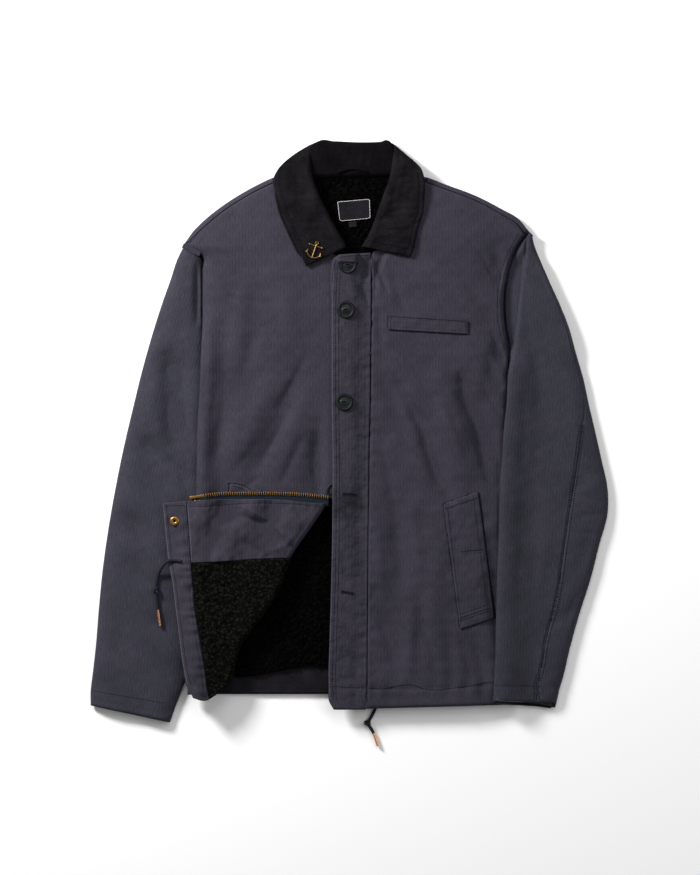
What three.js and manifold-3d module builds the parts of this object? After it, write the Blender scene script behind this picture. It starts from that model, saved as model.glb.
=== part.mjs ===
import * as THREE from 'three';
import Module from 'manifold-3d';

// Deck jacket with a felt fall collar, a buttoned fly placket and a pile lining, laid on its back.
// Millimetres. X runs to the right as seen from above, Y toward the collar, Z up off the table.
// The wearer's right is at negative X. Each cut piece is a wall between two grids of points.

// Driving dimensions
const seamGap = 0.4;          // clear line at each seam
const shellWall = 2.6;        // outer cloth with its interlining
const sideSeamZ = 5.6;        // height of the side and shoulder folds
const edgeInset = 4.5;        // wall seen end on at a folded edge
const edgeRound = 16;         // rounding of the body's folded edges
const frontFloor = 8.8;       // underside of a front beside its folded edge
const frontFloorRise = 1.6;   // its extra height in mid panel
const frontTop = 13.8;        // top of a front beside its folded edge
const frontTopRise = 4.0;     // its extra height in mid panel
const tuckLift = 10;          // body edge raised over the sleeve under it
const sleeveBulk = 12;        // two layers of a flattened sleeve
const sleeveFloorWall = 5;    // lower layer of a sleeve
const sleeveSlit = 1.9;       // space between the layers
const sleeveOverLift = 15.4;  // sleeve raised where it lies on the front
const placketWall = 4;        // fly placket, two cloths and binding
const flapShell = 2.6;        // turned corner, outer cloth
const flapPile = 4.7;         // turned corner, pile
const facingWall = 1.6;       // turned corner, facing cloth
const foldReach = 9.7;        // depth of the rolled fold of the turned corner
const collarWall = 4.2;       // felt collar, both cloths
const weltWall = 1.9;         // pocket welts
const buttonDia = 22.4;
const buttonThick = 2.7;
const chainWidth = 6.2;       // half of the front zip, teeth row
const cordDia = 3.5;

const clamp = t => Math.min(1, Math.max(0, t));
const ease = t => { const k = clamp(t); return k * k * (3 - 2 * k); };
const bend = t => { const k = 1 - clamp(t); return Math.sqrt(Math.max(0, 1 - k * k)); };
const mix = (a, b, t) => a + (b - a) * t;

// Smooth line through a table of [station, value] rows
function through(table) {
  const s = table.map(r => r[0]), v = table.map(r => r[1]), n = s.length;
  const slope = i => {
    if (i === 0) return (v[1] - v[0]) / (s[1] - s[0]);
    if (i === n - 1) return (v[n - 1] - v[n - 2]) / (s[n - 1] - s[n - 2]);
    const a = (v[i] - v[i - 1]) / (s[i] - s[i - 1]), b = (v[i + 1] - v[i]) / (s[i + 1] - s[i]);
    return (a * (s[i + 1] - s[i]) + b * (s[i] - s[i - 1])) / (s[i + 1] - s[i - 1]);
  };
  const m = s.map((_, i) => slope(i));
  return t => {
    if (t <= s[0]) return v[0];
    if (t >= s[n - 1]) return v[n - 1];
    let i = 0;
    while (t > s[i + 1]) i++;
    const h = s[i + 1] - s[i], k = (t - s[i]) / h, k2 = k * k, k3 = k2 * k;
    return (2 * k3 - 3 * k2 + 1) * v[i] + (k3 - 2 * k2 + k) * h * m[i]
      + (3 * k2 - 2 * k3) * v[i + 1] + (k3 - k2) * h * m[i + 1];
  };
}

// Rows of numbers, each column smoothed down the piece; v runs 0 to 1 by distance
function columns(rows) {
  const at = [0];
  for (let i = 1; i < rows.length; i++) {
    const a = rows[i - 1], b = rows[i];
    at.push(at[i - 1] + (Math.hypot(b[0] - a[0], b[1] - a[1]) + Math.hypot(b[2] - a[2], b[3] - a[3])) / 2);
  }
  const end = at[at.length - 1];
  const lines = rows[0].map((_, c) => through(rows.map((r, i) => [at[i] / end, r[c]])));
  return v => lines.map(f => f(v));
}

// A line of plan points by share of its length
function along(points) {
  const at = [0];
  for (let i = 1; i < points.length; i++) {
    at.push(at[i - 1] + Math.hypot(points[i][0] - points[i - 1][0], points[i][1] - points[i - 1][1]));
  }
  const end = at[at.length - 1];
  const fx = through(points.map((p, i) => [at[i] / end, p[0]]));
  const fy = through(points.map((p, i) => [at[i] / end, p[1]]));
  return t => [fx(t), fy(t)];
}

function lineDistance(x, y, points) {
  let best = 1e9;
  for (let i = 1; i < points.length; i++) {
    const [ax, ay] = points[i - 1], [bx, by] = points[i];
    const t = clamp(((x - ax) * (bx - ax) + (y - ay) * (by - ay)) / ((bx - ax) ** 2 + (by - ay) ** 2));
    best = Math.min(best, Math.hypot(x - mix(ax, bx, t), y - mix(ay, by, t)));
  }
  return best;
}

const spread = n => Array.from({ length: n + 1 }, (_, i) => i / n);

// Share down the rows at which one edge column reaches a height on the sheet
function shareAt(rows, column, y) {
  let a = 0, b = 1;
  const rising = rows(1)[column] > rows(0)[column];
  for (let i = 0; i < 40; i++) {
    const m = (a + b) / 2;
    if ((rows(m)[column] < y) === rising) a = m; else b = m;
  }
  return (a + b) / 2;
}

// Closed mesh from quads and triangles of a point list
function closed(points, faces) {
  const g = new THREE.BufferGeometry();
  g.setAttribute('position', new THREE.Float32BufferAttribute(points.flat(), 3));
  g.setIndex(faces.flat());
  let volume = 0;
  for (const [a, b, c] of faces) {
    const p = points[a], q = points[b], r = points[c];
    volume += p[0] * (q[1] * r[2] - q[2] * r[1]) - p[1] * (q[0] * r[2] - q[2] * r[0])
      + p[2] * (q[0] * r[1] - q[1] * r[0]);
  }
  if (volume < 0) g.setIndex(faces.map(([a, b, c]) => [a, c, b]).flat());
  return g;
}

// Wall between an outer and an inner grid; place(i, j) gives [outer xyz, inner xyz]
function wall(nu, nv, place) {
  const points = [], faces = [];
  for (let j = 0; j <= nv; j++) for (let i = 0; i <= nu; i++) {
    const p = place(i, j);
    points.push(p.slice(0, 3), p.slice(3, 6));
  }
  const id = (i, j, side) => 2 * (j * (nu + 1) + i) + side;
  const quad = (a, b, c, d) => faces.push([a, b, c], [a, c, d]);
  for (let j = 0; j < nv; j++) for (let i = 0; i < nu; i++) {
    quad(id(i, j, 0), id(i + 1, j, 0), id(i + 1, j + 1, 0), id(i, j + 1, 0));
    quad(id(i, j, 1), id(i, j + 1, 1), id(i + 1, j + 1, 1), id(i + 1, j, 1));
  }
  for (let i = 0; i < nu; i++) {
    quad(id(i, 0, 0), id(i, 0, 1), id(i + 1, 0, 1), id(i + 1, 0, 0));
    quad(id(i, nv, 0), id(i + 1, nv, 0), id(i + 1, nv, 1), id(i, nv, 1));
  }
  for (let j = 0; j < nv; j++) {
    quad(id(0, j, 0), id(0, j + 1, 0), id(0, j + 1, 1), id(0, j, 1));
    quad(id(nu, j, 0), id(nu, j, 1), id(nu, j + 1, 1), id(nu, j + 1, 0));
  }
  return closed(points, faces);
}

const group = new THREE.Group();
function add(name, geometry, color, rough = 0.9, metal = 0) {
  geometry.computeVertexNormals();
  const mesh = new THREE.Mesh(geometry,
    new THREE.MeshStandardMaterial({ color, roughness: rough, metalness: metal }));
  mesh.name = name;
  group.add(mesh);
}

// Body outline

// Side and armhole edges of the body: height on the sheet, across
const leftEdge = through([
  [-356, -218], [-309, -217], [-255, -215], [-201, -213], [-147, -210], [-89, -207], [-36, -206],
  [8, -205], [55, -202], [109, -200], [157, -198], [190, -198], [217, -198], [236, -199], [250, -222]]);
const rightEdge = through([
  [-375, 207], [-347, 209], [-201, 210], [-97, 210], [-39, 211], [8, 213], [49, 214], [82, 215],
  [116, 213], [147, 209], [177, 208], [204, 211], [228, 217], [247, 225], [263, 236], [269, 241]]);

// Shoulder outlines from the sleeve to the neck
const shoulderRight = [[-223, 252], [-211, 269], [-195, 285], [-175, 301], [-151, 317], [-122, 333],
  [-99, 343]];
const shoulderLeft = [[242, 269], [229, 285], [202, 301], [171, 317], [128, 333], [101, 343]];

// Forward shoulder seams, the front's top edge
const seamRight = [[-218, 253], [-206, 264.5], [-190, 279], [-171, 294.5], [-147, 310.5], [-119, 326],
  [-97, 336]];
const seamLeft = [[236, 264], [224, 279], [198, 295], [167, 311], [124, 327], [99, 336]];

const bodyDepth = (x, y) => Math.min(
  x - leftEdge(y), rightEdge(y) - x,
  lineDistance(x, y, shoulderRight), lineDistance(x, y, shoulderLeft));

// Underside of the back over the tucked sleeve
const rest = (x, y) => tuckLift * ease((36 - x + leftEdge(y)) / 30) * ease((178 - y) / 84);

// Main folds: start, end, half width, rise
const bodyFolds = [
  [-67, 69, -107, -12, 13, -2.6], [-107, -12, -136, -70, 14, -2.4], [-92, 88, -150, -30, 16, 1.6],
  [-46, 10, -34, -84, 10, -2.2], [-150, 215, -172, 120, 13, -1.4], [-100, 215, -70, 120, 15, 1.2],
  [-170, 20, -186, -60, 10, -1.6],
  [34, 82, 95, 15, 11, -2.4], [95, 15, 129, -80, 12, -2.2], [64, 86, 128, 6, 14, 1.4],
  [152, 62, 173, 15, 9, -2.8], [173, 15, 190, -62, 9, -2.4], [140, 50, 158, -30, 10, 1.4],
  [120, 235, 176, 190, 12, -1.3], [60, -180, 70, -300, 14, -1.2], [110, -190, 102, -310, 15, 1.2]];
const sleeveFolds = [
  [-249, 96, -238, -60, 12, -2.2], [-283, -12, -222, -62, 9, -1.6], [-300, -110, -262, -170, 10, -1.3],
  [-312, -250, -250, -262, 12, -1.1],
  [318, -60, 290, -100, 9, -1.3], [328, -130, 306, -190, 10, -1.2], [250, 120, 262, 20, 12, -1.4],
  [300, -236, 272, -262, 9, -1.3]];
function folds(table, x, y) {
  let z = 0;
  for (const [ax, ay, bx, by, half, rise] of table) {
    const t = clamp(((x - ax) * (bx - ax) + (y - ay) * (by - ay)) / ((bx - ax) ** 2 + (by - ay) ** 2));
    const d = Math.hypot(x - mix(ax, bx, t), y - mix(ay, by, t)) / half;
    z += rise * Math.exp(-d * d) * (0.45 + 0.55 * Math.sin(Math.PI * t));
  }
  return z;
}
const rightRound = y => mix(edgeRound, 6, ease((y - 95) / 30));
const roundAt = (x, y) => (rightEdge(y) - x < 60 ? rightRound(y) : edgeRound);

// Top and underside of the fronts at a plan point
function frontOuter(x, y) {
  const d = bodyDepth(x, y), c = ease(d / 60);
  const fold = folds(bodyFolds, x, y) * ease(d / 18);
  return rest(x, y) + sideSeamZ + (frontTop - sideSeamZ + frontTopRise * c) * bend(d / roundAt(x, y)) + fold;
}
function frontInner(x, y) {
  const d = bodyDepth(x, y), c = ease(d / 60);
  const fold = Math.min(1.2, Math.max(-0.8, folds(bodyFolds, x, y))) * ease(d / 30);
  return rest(x, y) + sideSeamZ
    + (frontFloor - sideSeamZ + frontFloorRise * c) * bend((d - edgeInset) / 12) + fold;
}
function liningTop(x, y) {
  const d = bodyDepth(x, y), c = ease(d / 60);
  return rest(x, y) + shellWall + seamGap + 1 + (3.2 + 1.1 * c) * bend((d - 7) / 12);
}

// Back panel, hem to shoulders: left edge, right edge
const backRows = columns([
  [-218, -355, 209, -355], [-215, -255, 209.6, -255], [-210, -147, 210, -148], [-206, -36, 211, -39],
  [-202, 55, 214, 49], [-199, 130, 211, 130], [-198, 200, 210.5, 202], [-199.5, 235, 224.5, 245],
  [-221.5, 251, 240, 267.5]]);
const backTop = along([...shoulderRight, [-67, 343], [0, 343], [68, 344.5],
  ...shoulderLeft.slice().reverse()]);
function backEdges(v) {
  const [xl, yl, xr, yr] = backRows(v);
  return [yl < 232 ? leftEdge(yl) : xl, yl, yr < 262 ? rightEdge(yr) : xr, yr];
}
function backPlan(u, v) {
  const [xl, yl, xr, yr] = backEdges(v), [tl, ml, tr, mr] = backEdges(1);
  const [tx, ty] = backTop(u), k = ease((v - 0.78) / 0.22);
  return [mix(xl, xr, u) + (tx - mix(tl, tr, u)) * k, mix(yl, yr, u) + (ty - mix(ml, mr, u)) * k];
}
// Distances in from a side edge at which the body's walls are sectioned, and heights of the rows
const sideSteps = [0, 1.4, 4.5, 10, 17, 26, 36];
const rowHeights = [-351, -255, -147, -45, 55, 90, 112, 134, 156, 178, 202, 222];
const backWidth = 427;
const backUs = [...sideSteps, 74, 130, 214, 298, 354, ...sideSteps.map(s => backWidth - s).reverse()]
  .map(s => s / backWidth);
const backVs = [0, ...rowHeights.map(y => shareAt(backRows, 1, y)), 0.95, 0.975, 0.989, 0.996, 1];
const inFrom = (s, total, inset, reach) => (s < total / 2
  ? s + inset * Math.max(0, 1 - s / reach)
  : s - inset * Math.max(0, 1 - (total - s) / reach));
const backGrid = wall(backUs.length - 1, backVs.length - 1, (i, j) => {
  const u = backUs[i], v = backVs[j];
  const [x, y] = backPlan(u, v);
  const inset = inFrom(u * backWidth, backWidth, 3, 27) / backWidth;
  const [a, b] = backPlan(inset, v - 0.0045 * ease((v - 0.9) / 0.1));
  const d = Math.max(0, bodyDepth(x, y)), e = Math.max(0, bodyDepth(a, b));
  const hem = 0.7 * (1 - ease((y + 355) / 5)) * bend(d / 8);
  return [x, y, rest(x, y) + 5 * (1 - bend(d / 8)) + hem,
    a, b, rest(a, b) + shellWall + 2.4 * (1 - bend((e - 3) / 9)) - hem];
});

// Back's turn over each shoulder to the forward seam: reach in, height, for both sides of the cloth
const shoulderTurn = [
  [3.4, 1.4, 4.6, 2.5], [0.8, 3.3, 3.6, 3.9], [0.1, 5.3, 3.2, 5.2], [0.8, 8.1, 3.6, 6.1],
  [2.8, 10.2, 4.4, 6.7], [5.4, 11.6, 5.5, 7.1]];
function shoulderWrap(outline, seam) {
  const edge = along(outline), line = along(seam), steps = 9;
  return wall(shoulderTurn.length - 1, steps, (i, j) => {
    const t = j / steps, [ex, ey] = edge(mix(0.015, 0.97, t)), [sx, sy] = line(mix(0.015, 0.97, t));
    const l = Math.hypot(sx - ex, sy - ey), nx = (sx - ex) / l, ny = (sy - ey) / l;
    const [ro, zo, ri, zi] = shoulderTurn[i], k = (l - 1) / 5.4;
    return [ex + nx * ro * k, ey + ny * ro * k, zo, ex + nx * ri * k, ey + ny * ri * k, zi];
  });
}
const kernel = await Module();
kernel.setup();
function solid(g) {
  const m = new kernel.Mesh({
    numProp: 3, vertProperties: new Float32Array(g.attributes.position.array),
    triVerts: new Uint32Array(g.index.array)
  });
  m.merge();
  return new kernel.Manifold(m);
}
function joined(...parts) {
  let all = solid(parts[0]);
  for (const p of parts.slice(1)) all = all.add(solid(p));
  const m = all.getMesh(), g = new THREE.BufferGeometry(), pos = [];
  for (let i = 0; i < m.numVert; i++) {
    pos.push(...[0, 1, 2].map(k => m.vertProperties[i * m.numProp + k]));
  }
  g.setAttribute('position', new THREE.Float32BufferAttribute(pos, 3));
  g.setIndex(Array.from(m.triVerts));
  return g;
}
add('back', joined(backGrid, shoulderWrap(shoulderRight, seamRight), shoulderWrap(shoulderLeft, seamLeft)),
  '#36353c');

// Pile lining of the back, seen in the neck and under the turned corner
const pileRows = columns([
  [leftEdge(-308) + 8, -308, 201, -308], [leftEdge(-174) + 8, -174, 202, -174],
  [leftEdge(42) + 8, 42, 203, 42], [leftEdge(150) + 8, 150, 201, 150], [-190, 200, 201, 200],
  [-184, 228, 196, 230], [-164, 262, 182, 265], [-121, 300, 138, 300], [-88, 324, 100, 324],
  [-66, 339.5, 78, 340.5]]);
const pileSteps = [8.5, 12, 17, 26, 36, 74, 130, 214, 298, 354, 391, 407, 418.5];
const pileUs = pileSteps.map(s => (s - 8.5) / 410);
const pileVs = [0, ...rowHeights.slice(1).map(y => shareAt(pileRows, 1, y)), 0.94, 0.97, 0.99, 1];
const pileFloor = (x, y) => rest(x, y) + shellWall + seamGap + 0.1
  + 2.4 * (1 - bend((bodyDepth(x, y) - 3) / 9)) + 1.7 * ease((y - 318) / 14);
add('lining_back', wall(pileUs.length - 1, pileVs.length - 1, (i, j) => {
  const [xl, yl, xr, yr] = pileRows(pileVs[j]), u = pileUs[i];
  const x = mix(xl, xr, u), y = mix(yl, yr, u);
  return [x, y, liningTop(x, y), x, y, pileFloor(x, y)];
}), '#0a0a0c');

// Turned hem facing of the back, inside
const hemSteps = [14, 17, 26, 36, 74, 130, 214, 298, 354, 391, 407, 413];
add('hem_facing_back', wall(hemSteps.length - 1, 4, (i, j) => {
  const v = [0, 0.1, 0.5, 0.9, 1][j], y = mix(-354.2, -308.8, v);
  const x = leftEdge(y) + hemSteps[i], floor = pileFloor(x, y);
  const side = bend(Math.min(i, hemSteps.length - 1 - i) / 2);
  const top = floor + 1 + 1.5 * bend(v / 0.12) * bend((1 - v) / 0.1 + 0.2) * side;
  return [x, y, top, x, y, floor];
}), '#151417');

// Fronts

// Front seam beside the placket, and the fold line of the turned corner: height, across
const placketSeam = through([
  [-376, 22.5], [-344, 23.5], [-285, 24], [-217, 24.5], [-147, 25], [-89, 26], [-26, 26.5], [42, 28],
  [96, 28.5], [163, 29.5], [240, 30]]);
const foldLine = through([
  [-356, -180], [-351, -173], [-339, -160], [-316, -153], [-292, -147], [-269, -132], [-238, -108],
  [-204, -90], [-169, -76], [-134, -52], [-112, -37], [-97, -27.5]]);

const foldBack = y => foldLine(y) - foldReach - 2;
// Wearer's left front: front edge, armhole and side
const frontLeftRows = columns([
  [99, 336, 236, 263.5], [90, 315, 224.4, 246], [80.5, 294, 216.6, 227], [68, 274, 210.6, 203],
  [52, 256, 207.6, 177], [30.2, 238, 208.6, 147], [placketSeam(205), 205, 212.6, 116],
  [placketSeam(150), 150, 214.6, 82], [placketSeam(96), 96, 213.6, 49], [placketSeam(42), 42, 212.6, 8],
  [placketSeam(-26), -26, 210.6, -39], [placketSeam(-93), -93, 209.6, -97],
  [placketSeam(-147), -147, 209.6, -148], [placketSeam(-201), -201, 209.6, -201],
  [placketSeam(-255), -255, 209.4, -255], [placketSeam(-302), -302, 209, -302],
  [placketSeam(-347), -347, 208.6, -345], [placketSeam(-369), -370, 207.5, -365],
  [placketSeam(-374), -374, 207, -369]]);
const frontRightRows = columns([
  [-97, 336, -218, 253], [-82, 317, -222, 249.7], [-70, 296, -211, 243.5], [-58, 274, -200.5, 236.5],
  [-38, 250, -198, 217], [-7, 226, -198, 190], [-5, 184, -198, 157], [-5, 126, -200, 109],
  [-5, 66, -202, 55], [-5, 15, -205, 8], [-6, -32, -206, -36], [-7, -62, -207, -63],
  [-13, -79, -207, -81], [-40, -93.5, -207.7, -95.5], [foldBack(-112), -112, -208.5, -114],
  [foldBack(-134), -134, -209.5, -134],
  [foldBack(-169), -169, -211, -167], [foldBack(-204), -204, -213, -201],
  [foldBack(-238), -238, -214.3, -236], [foldBack(-269), -269, -215.6, -267],
  [foldBack(-292), -292, -216.5, -291], [foldBack(-316), -316, -217.3, -316],
  [foldBack(-339), -339, -217.8, -340], [foldBack(-351), -351, -218, -354]]);
const frontShares = [0.22, 0.44, 0.66, 0.86, 0.965, 1];
function frontPiece(rows, seam, vs, side) {
  const top = along(seam), first = rows(0), reach = 36;
  const edges = v => {
    const [xf, yf, xs, ys] = rows(v);
    return [xf, yf, ys < 232 ? side(ys) : xs, ys];
  };
  const plan = (u, v) => {
    const [xf, yf, xs, ys] = edges(v), [tx, ty] = top(1 - u), k = 1 - ease(v / 0.16);
    return [mix(xf, xs, u) + (tx - mix(first[0], first[2], u)) * k,
      mix(yf, ys, u) + (ty - mix(first[1], first[3], u)) * k];
  };
  return wall(sideSteps.length + frontShares.length - 1, vs.length - 1, (i, j) => {
    const v = vs[j], [xf, yf, xs, ys] = edges(v), width = Math.hypot(xs - xf, ys - yf);
    const k = Math.min(1, width / 72), lip = 1.6 * (1 - ease((1 - v) / 0.012));
    const s = i < sideSteps.length ? sideSteps[i] * k
      : mix(reach * k, width, frontShares[i - sideSteps.length]);
    const soft = 1.6 * (1 - bend((width - s) / 4)), hem = lip * ease(s / 9);
    const [x, y] = plan(1 - s / width, v);
    const [a, b] = plan(1 - (s + edgeInset * Math.max(0, 1 - s / (reach * k))) / width, v);
    return [x, y, frontOuter(x, y) - hem - soft, a, b, frontInner(a, b) + hem * 0.6];
  });
}
const rightVs = [0, 0.015, 0.03, ...[236, 222, 202, 178, 156, 134, 112, 90, 55, 5, -45, -81, -96, -120, -147,
  -174, -201, -228, -255, -282, -309, -332, -351].map(y => shareAt(frontRightRows, 3, y)), 1];
const leftVsBody = [0, ...[246, 227, 203, 178, 147, 116, 90, 55, 5, -45, -97, -147, -201, -255, -302, -345,
  -365].map(y => shareAt(frontLeftRows, 3, y)), 1];
add('front_left', frontPiece(frontLeftRows, seamLeft, leftVsBody, rightEdge), '#3c3a43');
add('front_right', frontPiece(frontRightRows, seamRight, rightVs, leftEdge), '#3c3a43');

// Fly placket over the meeting of the fronts: outer edge, height; its other edge is the seam
const placketRows = columns([
  [-14, 237, 28.6, 240], [-22, 231, 28.6, 231], [-24, 222, 28.8, 222], [-24, 163, 29, 163],
  [-24, 96, 28, 96], [-24, 42, 27.5, 42], [-23, -26, 26, -26], [-23, -89, 25.5, -89],
  [-23.5, -147, 24.6, -147], [-25, -217, 24, -217], [-27, -285, 23.5, -285], [-28, -344, 23, -344],
  [-26.5, -366, 22.3, -368], [-21, -375, 22, -375]]);
const heldButton = [-20, -81];
function placketFloor(x, y) {
  const bump = 4.2 * Math.exp(-(((x - heldButton[0]) / 20) ** 2) - ((y - heldButton[1]) / 24) ** 2);
  const open = ease((-95 - y) / 30);
  const over = Math.max(frontOuter(Math.min(x, -6), Math.max(y, -100)), 17.2) + 0.9 + bump;
  const joinZ = frontOuter(33, y) - 4.4;
  return mix(mix(over, 15.5, open), joinZ, ease((x + 3) / 27));
}
const placketTop = (x, y) => placketFloor(x, y) + placketWall;
const placketUs = [0, 0.05, 0.18, 0.38, 0.6, 0.8, 0.93, 1];
add('placket_left', wall(placketUs.length - 1, 22, (i, j) => {
  const [xl, yl, xr, yr] = placketRows(spread(22)[j]), u = placketUs[i];
  const x = mix(xl, xr, u), y = mix(yl, yr, u), end = Math.min(j, 22 - j) === 0 ? 1 : 0;
  const lip = 1.2 * (1 - bend(u / 0.1)) + 0.8 * end;
  return [x, y, placketTop(x, y) - lip, x, y, placketFloor(x, y) + lip * 0.5];
}), '#34313a');

// Sleeves

// Wearer's right sleeve, on the table, its inner edge under the body: outer edge, inner edge
const sleeveRightRows = columns([
  [-224, 248.2, -200.6, 233], [-232, 232, -199.6, 217], [-241, 205, -199.2, 190],
  [-253, 171, -199, 153], [-266, 130, -194, 107], [-280, 80, -193, 55], [-292, 31, -195, 4],
  [-304, -20, -196.5, -49], [-315, -74, -197.5, -103], [-325, -131, -200, -158],
  [-333, -188, -203, -212], [-338, -239, -206, -262], [-342, -289, -211, -306],
  [-346, -325, -223, -342], [-349, -350, -233, -367], [-349, -370, -242, -393]]);
// Wearer's left sleeve, inner edge over the front: inner edge, outer edge, seam across
const sleeveLeftRows = columns([
  [241.6, 266.4, 245.8, 265.6, 244.9], [rightEdge(252) + 1.6, 252, 249, 251.5, 247.6],
  [rightEdge(236) + 1.6, 236, 254.8, 235.6, 252.5], [rightEdge(205) + 1.6, 205, 269, 202, 266.5],
  [rightEdge(171) + 1.6, 171, 284, 169, 281], [rightEdge(138) + 1.6, 138, 296, 138, 292.5],
  [217, 106, 304, 109, 300], [213, 74, 315, 72, 310.5], [211, 35, 323, 35, 317],
  [207, -1, 331, 1, 313.5], [205, -39, 340, -39, 308], [202, -77, 348, -77, 302],
  [201, -113, 348, -111, 296], [200, -154, 337, -153, 290], [198, -201, 325, -200, 283],
  [197, -248, 310, -247, 273], [196, -293, 298, -290, 263], [194, -336, 288, -332, 256],
  [193, -364, 278, -363, 252]]);
const overFront = (x, y) =>
  sleeveOverLift * ease((rightEdge(y) + 26 - x) / 34) * ease((120 - y) / 40);
const sleeveRest = (x, y) => (x > 0 ? overFront(x, y) : 0);
const innerRound = y => mix(26, 8, ease((y - 95) / 30));
function sleeveTopOuter(x, y, d, round) {
  return sleeveRest(x, y) + 4 + (sleeveBulk - 4) * bend(d / round)
    + folds(sleeveFolds, x, y) * ease(d / 16);
}
const sleeveTopInner = (x, y, d) =>
  sleeveRest(x, y) + 4 + (sleeveFloorWall + sleeveSlit - 4) * bend((d - 4.5) / 26);
const sleeveLowOuter = (x, y, d) => sleeveRest(x, y) + 3.6 * (1 - bend(d / 10));
const sleeveLowInner = (x, y, d) =>
  sleeveRest(x, y) + 3.6 + (sleeveFloorWall - 3.6) * bend((d - 4.5) / 20);
const sleeveUs = [0, 0.01, 0.035, 0.1, 0.22, 0.4, 0.6, 0.78, 0.9, 0.965, 0.99, 1];
const sleeveVs = spread(14);
function sleeveHalf(rows, top) {
  return wall(sleeveUs.length - 1, sleeveVs.length - 1, (i, j) => {
    const [xo, yo, xi, yi] = rows(sleeveVs[j]), width = Math.hypot(xi - xo, yi - yo);
    const t = Math.min(edgeInset, width * 0.2), u = sleeveUs[i];
    const w = mix(t / width, 1 - t / width, u);
    const x = mix(xo, xi, u), y = mix(yo, yi, u), a = mix(xo, xi, w), b = mix(yo, yi, w);
    const d = Math.min(u, 1 - u) * width, e = Math.min(w, 1 - w) * width + (edgeInset - t);
    const end = j === sleeveVs.length - 1 ? 1 : 0;
    return top
      ? [x, y, sleeveTopOuter(x, y, d, Math.min(26, width * 0.4)) - end * bend(d / 9),
        a, b, sleeveTopInner(a, b, e)]
      : [x, y, sleeveLowOuter(x, y, d) + 0.5 * end * bend(d / 9), a, b, sleeveLowInner(a, b, e)];
  });
}
add('sleeve_right_upper', sleeveHalf(sleeveRightRows, true), '#3a3841');
add('sleeve_right_under', sleeveHalf(sleeveRightRows, false), '#3a3841');

const leftVs = [0, 0.024, 0.055, 0.1, 0.15, 0.205, 0.26, 0.305, 0.345, 0.39, 0.46, 0.54, 0.63, 0.72, 0.81,
  0.91, 1];
const overSteps = [0, 1.5, 4.5, 9, 14, 20, 26, 33, 44];
const topShares = [0.35, 0.65, 0.88, 1];
const wrapShares = [0, 0.4, 0.75, 0.93, 1];
const lowShares = [0.01, 0.06, 0.3, 0.62];
function leftRow(v) {
  const [xi, yi, xo, yo, xs] = sleeveLeftRows(v), width = Math.hypot(xo - xi, yo - yi);
  return { xi, yi, xo, yo, width, seam: xs - xi, thick: Math.min(edgeInset, width * 0.2),
    k: Math.min(1, width / 96) };
}
// Distance in from the inner edge; the hidden side of the cloth starts a wall's width further in
const overDistance = (row, i, inner) => overSteps[i] * row.k
  + (inner ? row.thick * (1 - overSteps[i] / 44) : 0);
function leftSpot(row, s, inner, high) {
  const x = mix(row.xi, row.xo, s / row.width), y = mix(row.yi, row.yo, s / row.width);
  const d = Math.min(s, row.width - s), e = d + (edgeInset - row.thick);
  const round = Math.min(row.width * 0.4, s < row.width / 2 ? innerRound(y) : 26);
  const z = high
    ? (inner ? sleeveTopInner(x, y, e) : sleeveTopOuter(x, y, d, round))
    : (inner ? sleeveLowInner(x, y, e) : sleeveLowOuter(x, y, d));
  return [x, y, z];
}
add('sleeve_left_upper', wall(overSteps.length + topShares.length - 1, leftVs.length - 1, (i, j) => {
  const row = leftRow(leftVs[j]), stop = row.seam - 0.2, inStop = Math.min(stop, row.width - row.thick - 0.3);
  if (i < overSteps.length) {
    return [...leftSpot(row, overDistance(row, i, false), false, true),
      ...leftSpot(row, overDistance(row, i, true), true, true)];
  }
  const t = topShares[i - overSteps.length], from = 44 * row.k;
  return [...leftSpot(row, mix(from, stop, t), false, true),
    ...leftSpot(row, mix(from, inStop, t), true, true)];
}), '#37363f');
const lowCount = overSteps.length + lowShares.length;
add('sleeve_left_under', wall(wrapShares.length + lowCount - 1, leftVs.length - 1, (i, j) => {
  const row = leftRow(leftVs[j]), start = row.seam + 0.2, last = row.width - row.thick;
  if (i < wrapShares.length) {
    return [...leftSpot(row, mix(start, row.width, wrapShares[i]), false, true),
      ...leftSpot(row, mix(Math.min(start, last), last, wrapShares[i]), true, true)];
  }
  const k = i - wrapShares.length, from = 44 * row.k;
  if (k < lowShares.length) {
    return [...leftSpot(row, mix(row.width, from, lowShares[k]), false, false),
      ...leftSpot(row, mix(last, from, lowShares[k]), true, false)];
  }
  const m = overSteps.length - 1 - (k - lowShares.length);
  return [...leftSpot(row, overDistance(row, m, false), false, false),
    ...leftSpot(row, overDistance(row, m, true), true, false)];
}), '#37363f');

// Turned-out lower corner of the wearer's right front

// Free hem edge, hem facing seam, and the fold line at the same height
const cornerRows = columns([
  [-251, -97, -219, -97], [-248, -134, -216, -134], [-244, -169, -213, -169], [-238, -204, -210, -204],
  [-234, -238, -207, -238], [-230, -269, -202, -269], [-227, -294, -198, -294],
  [-223, -320, -194, -318], [-219, -341, -191, -338], [-210, -356, -188, -349]]);
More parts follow.
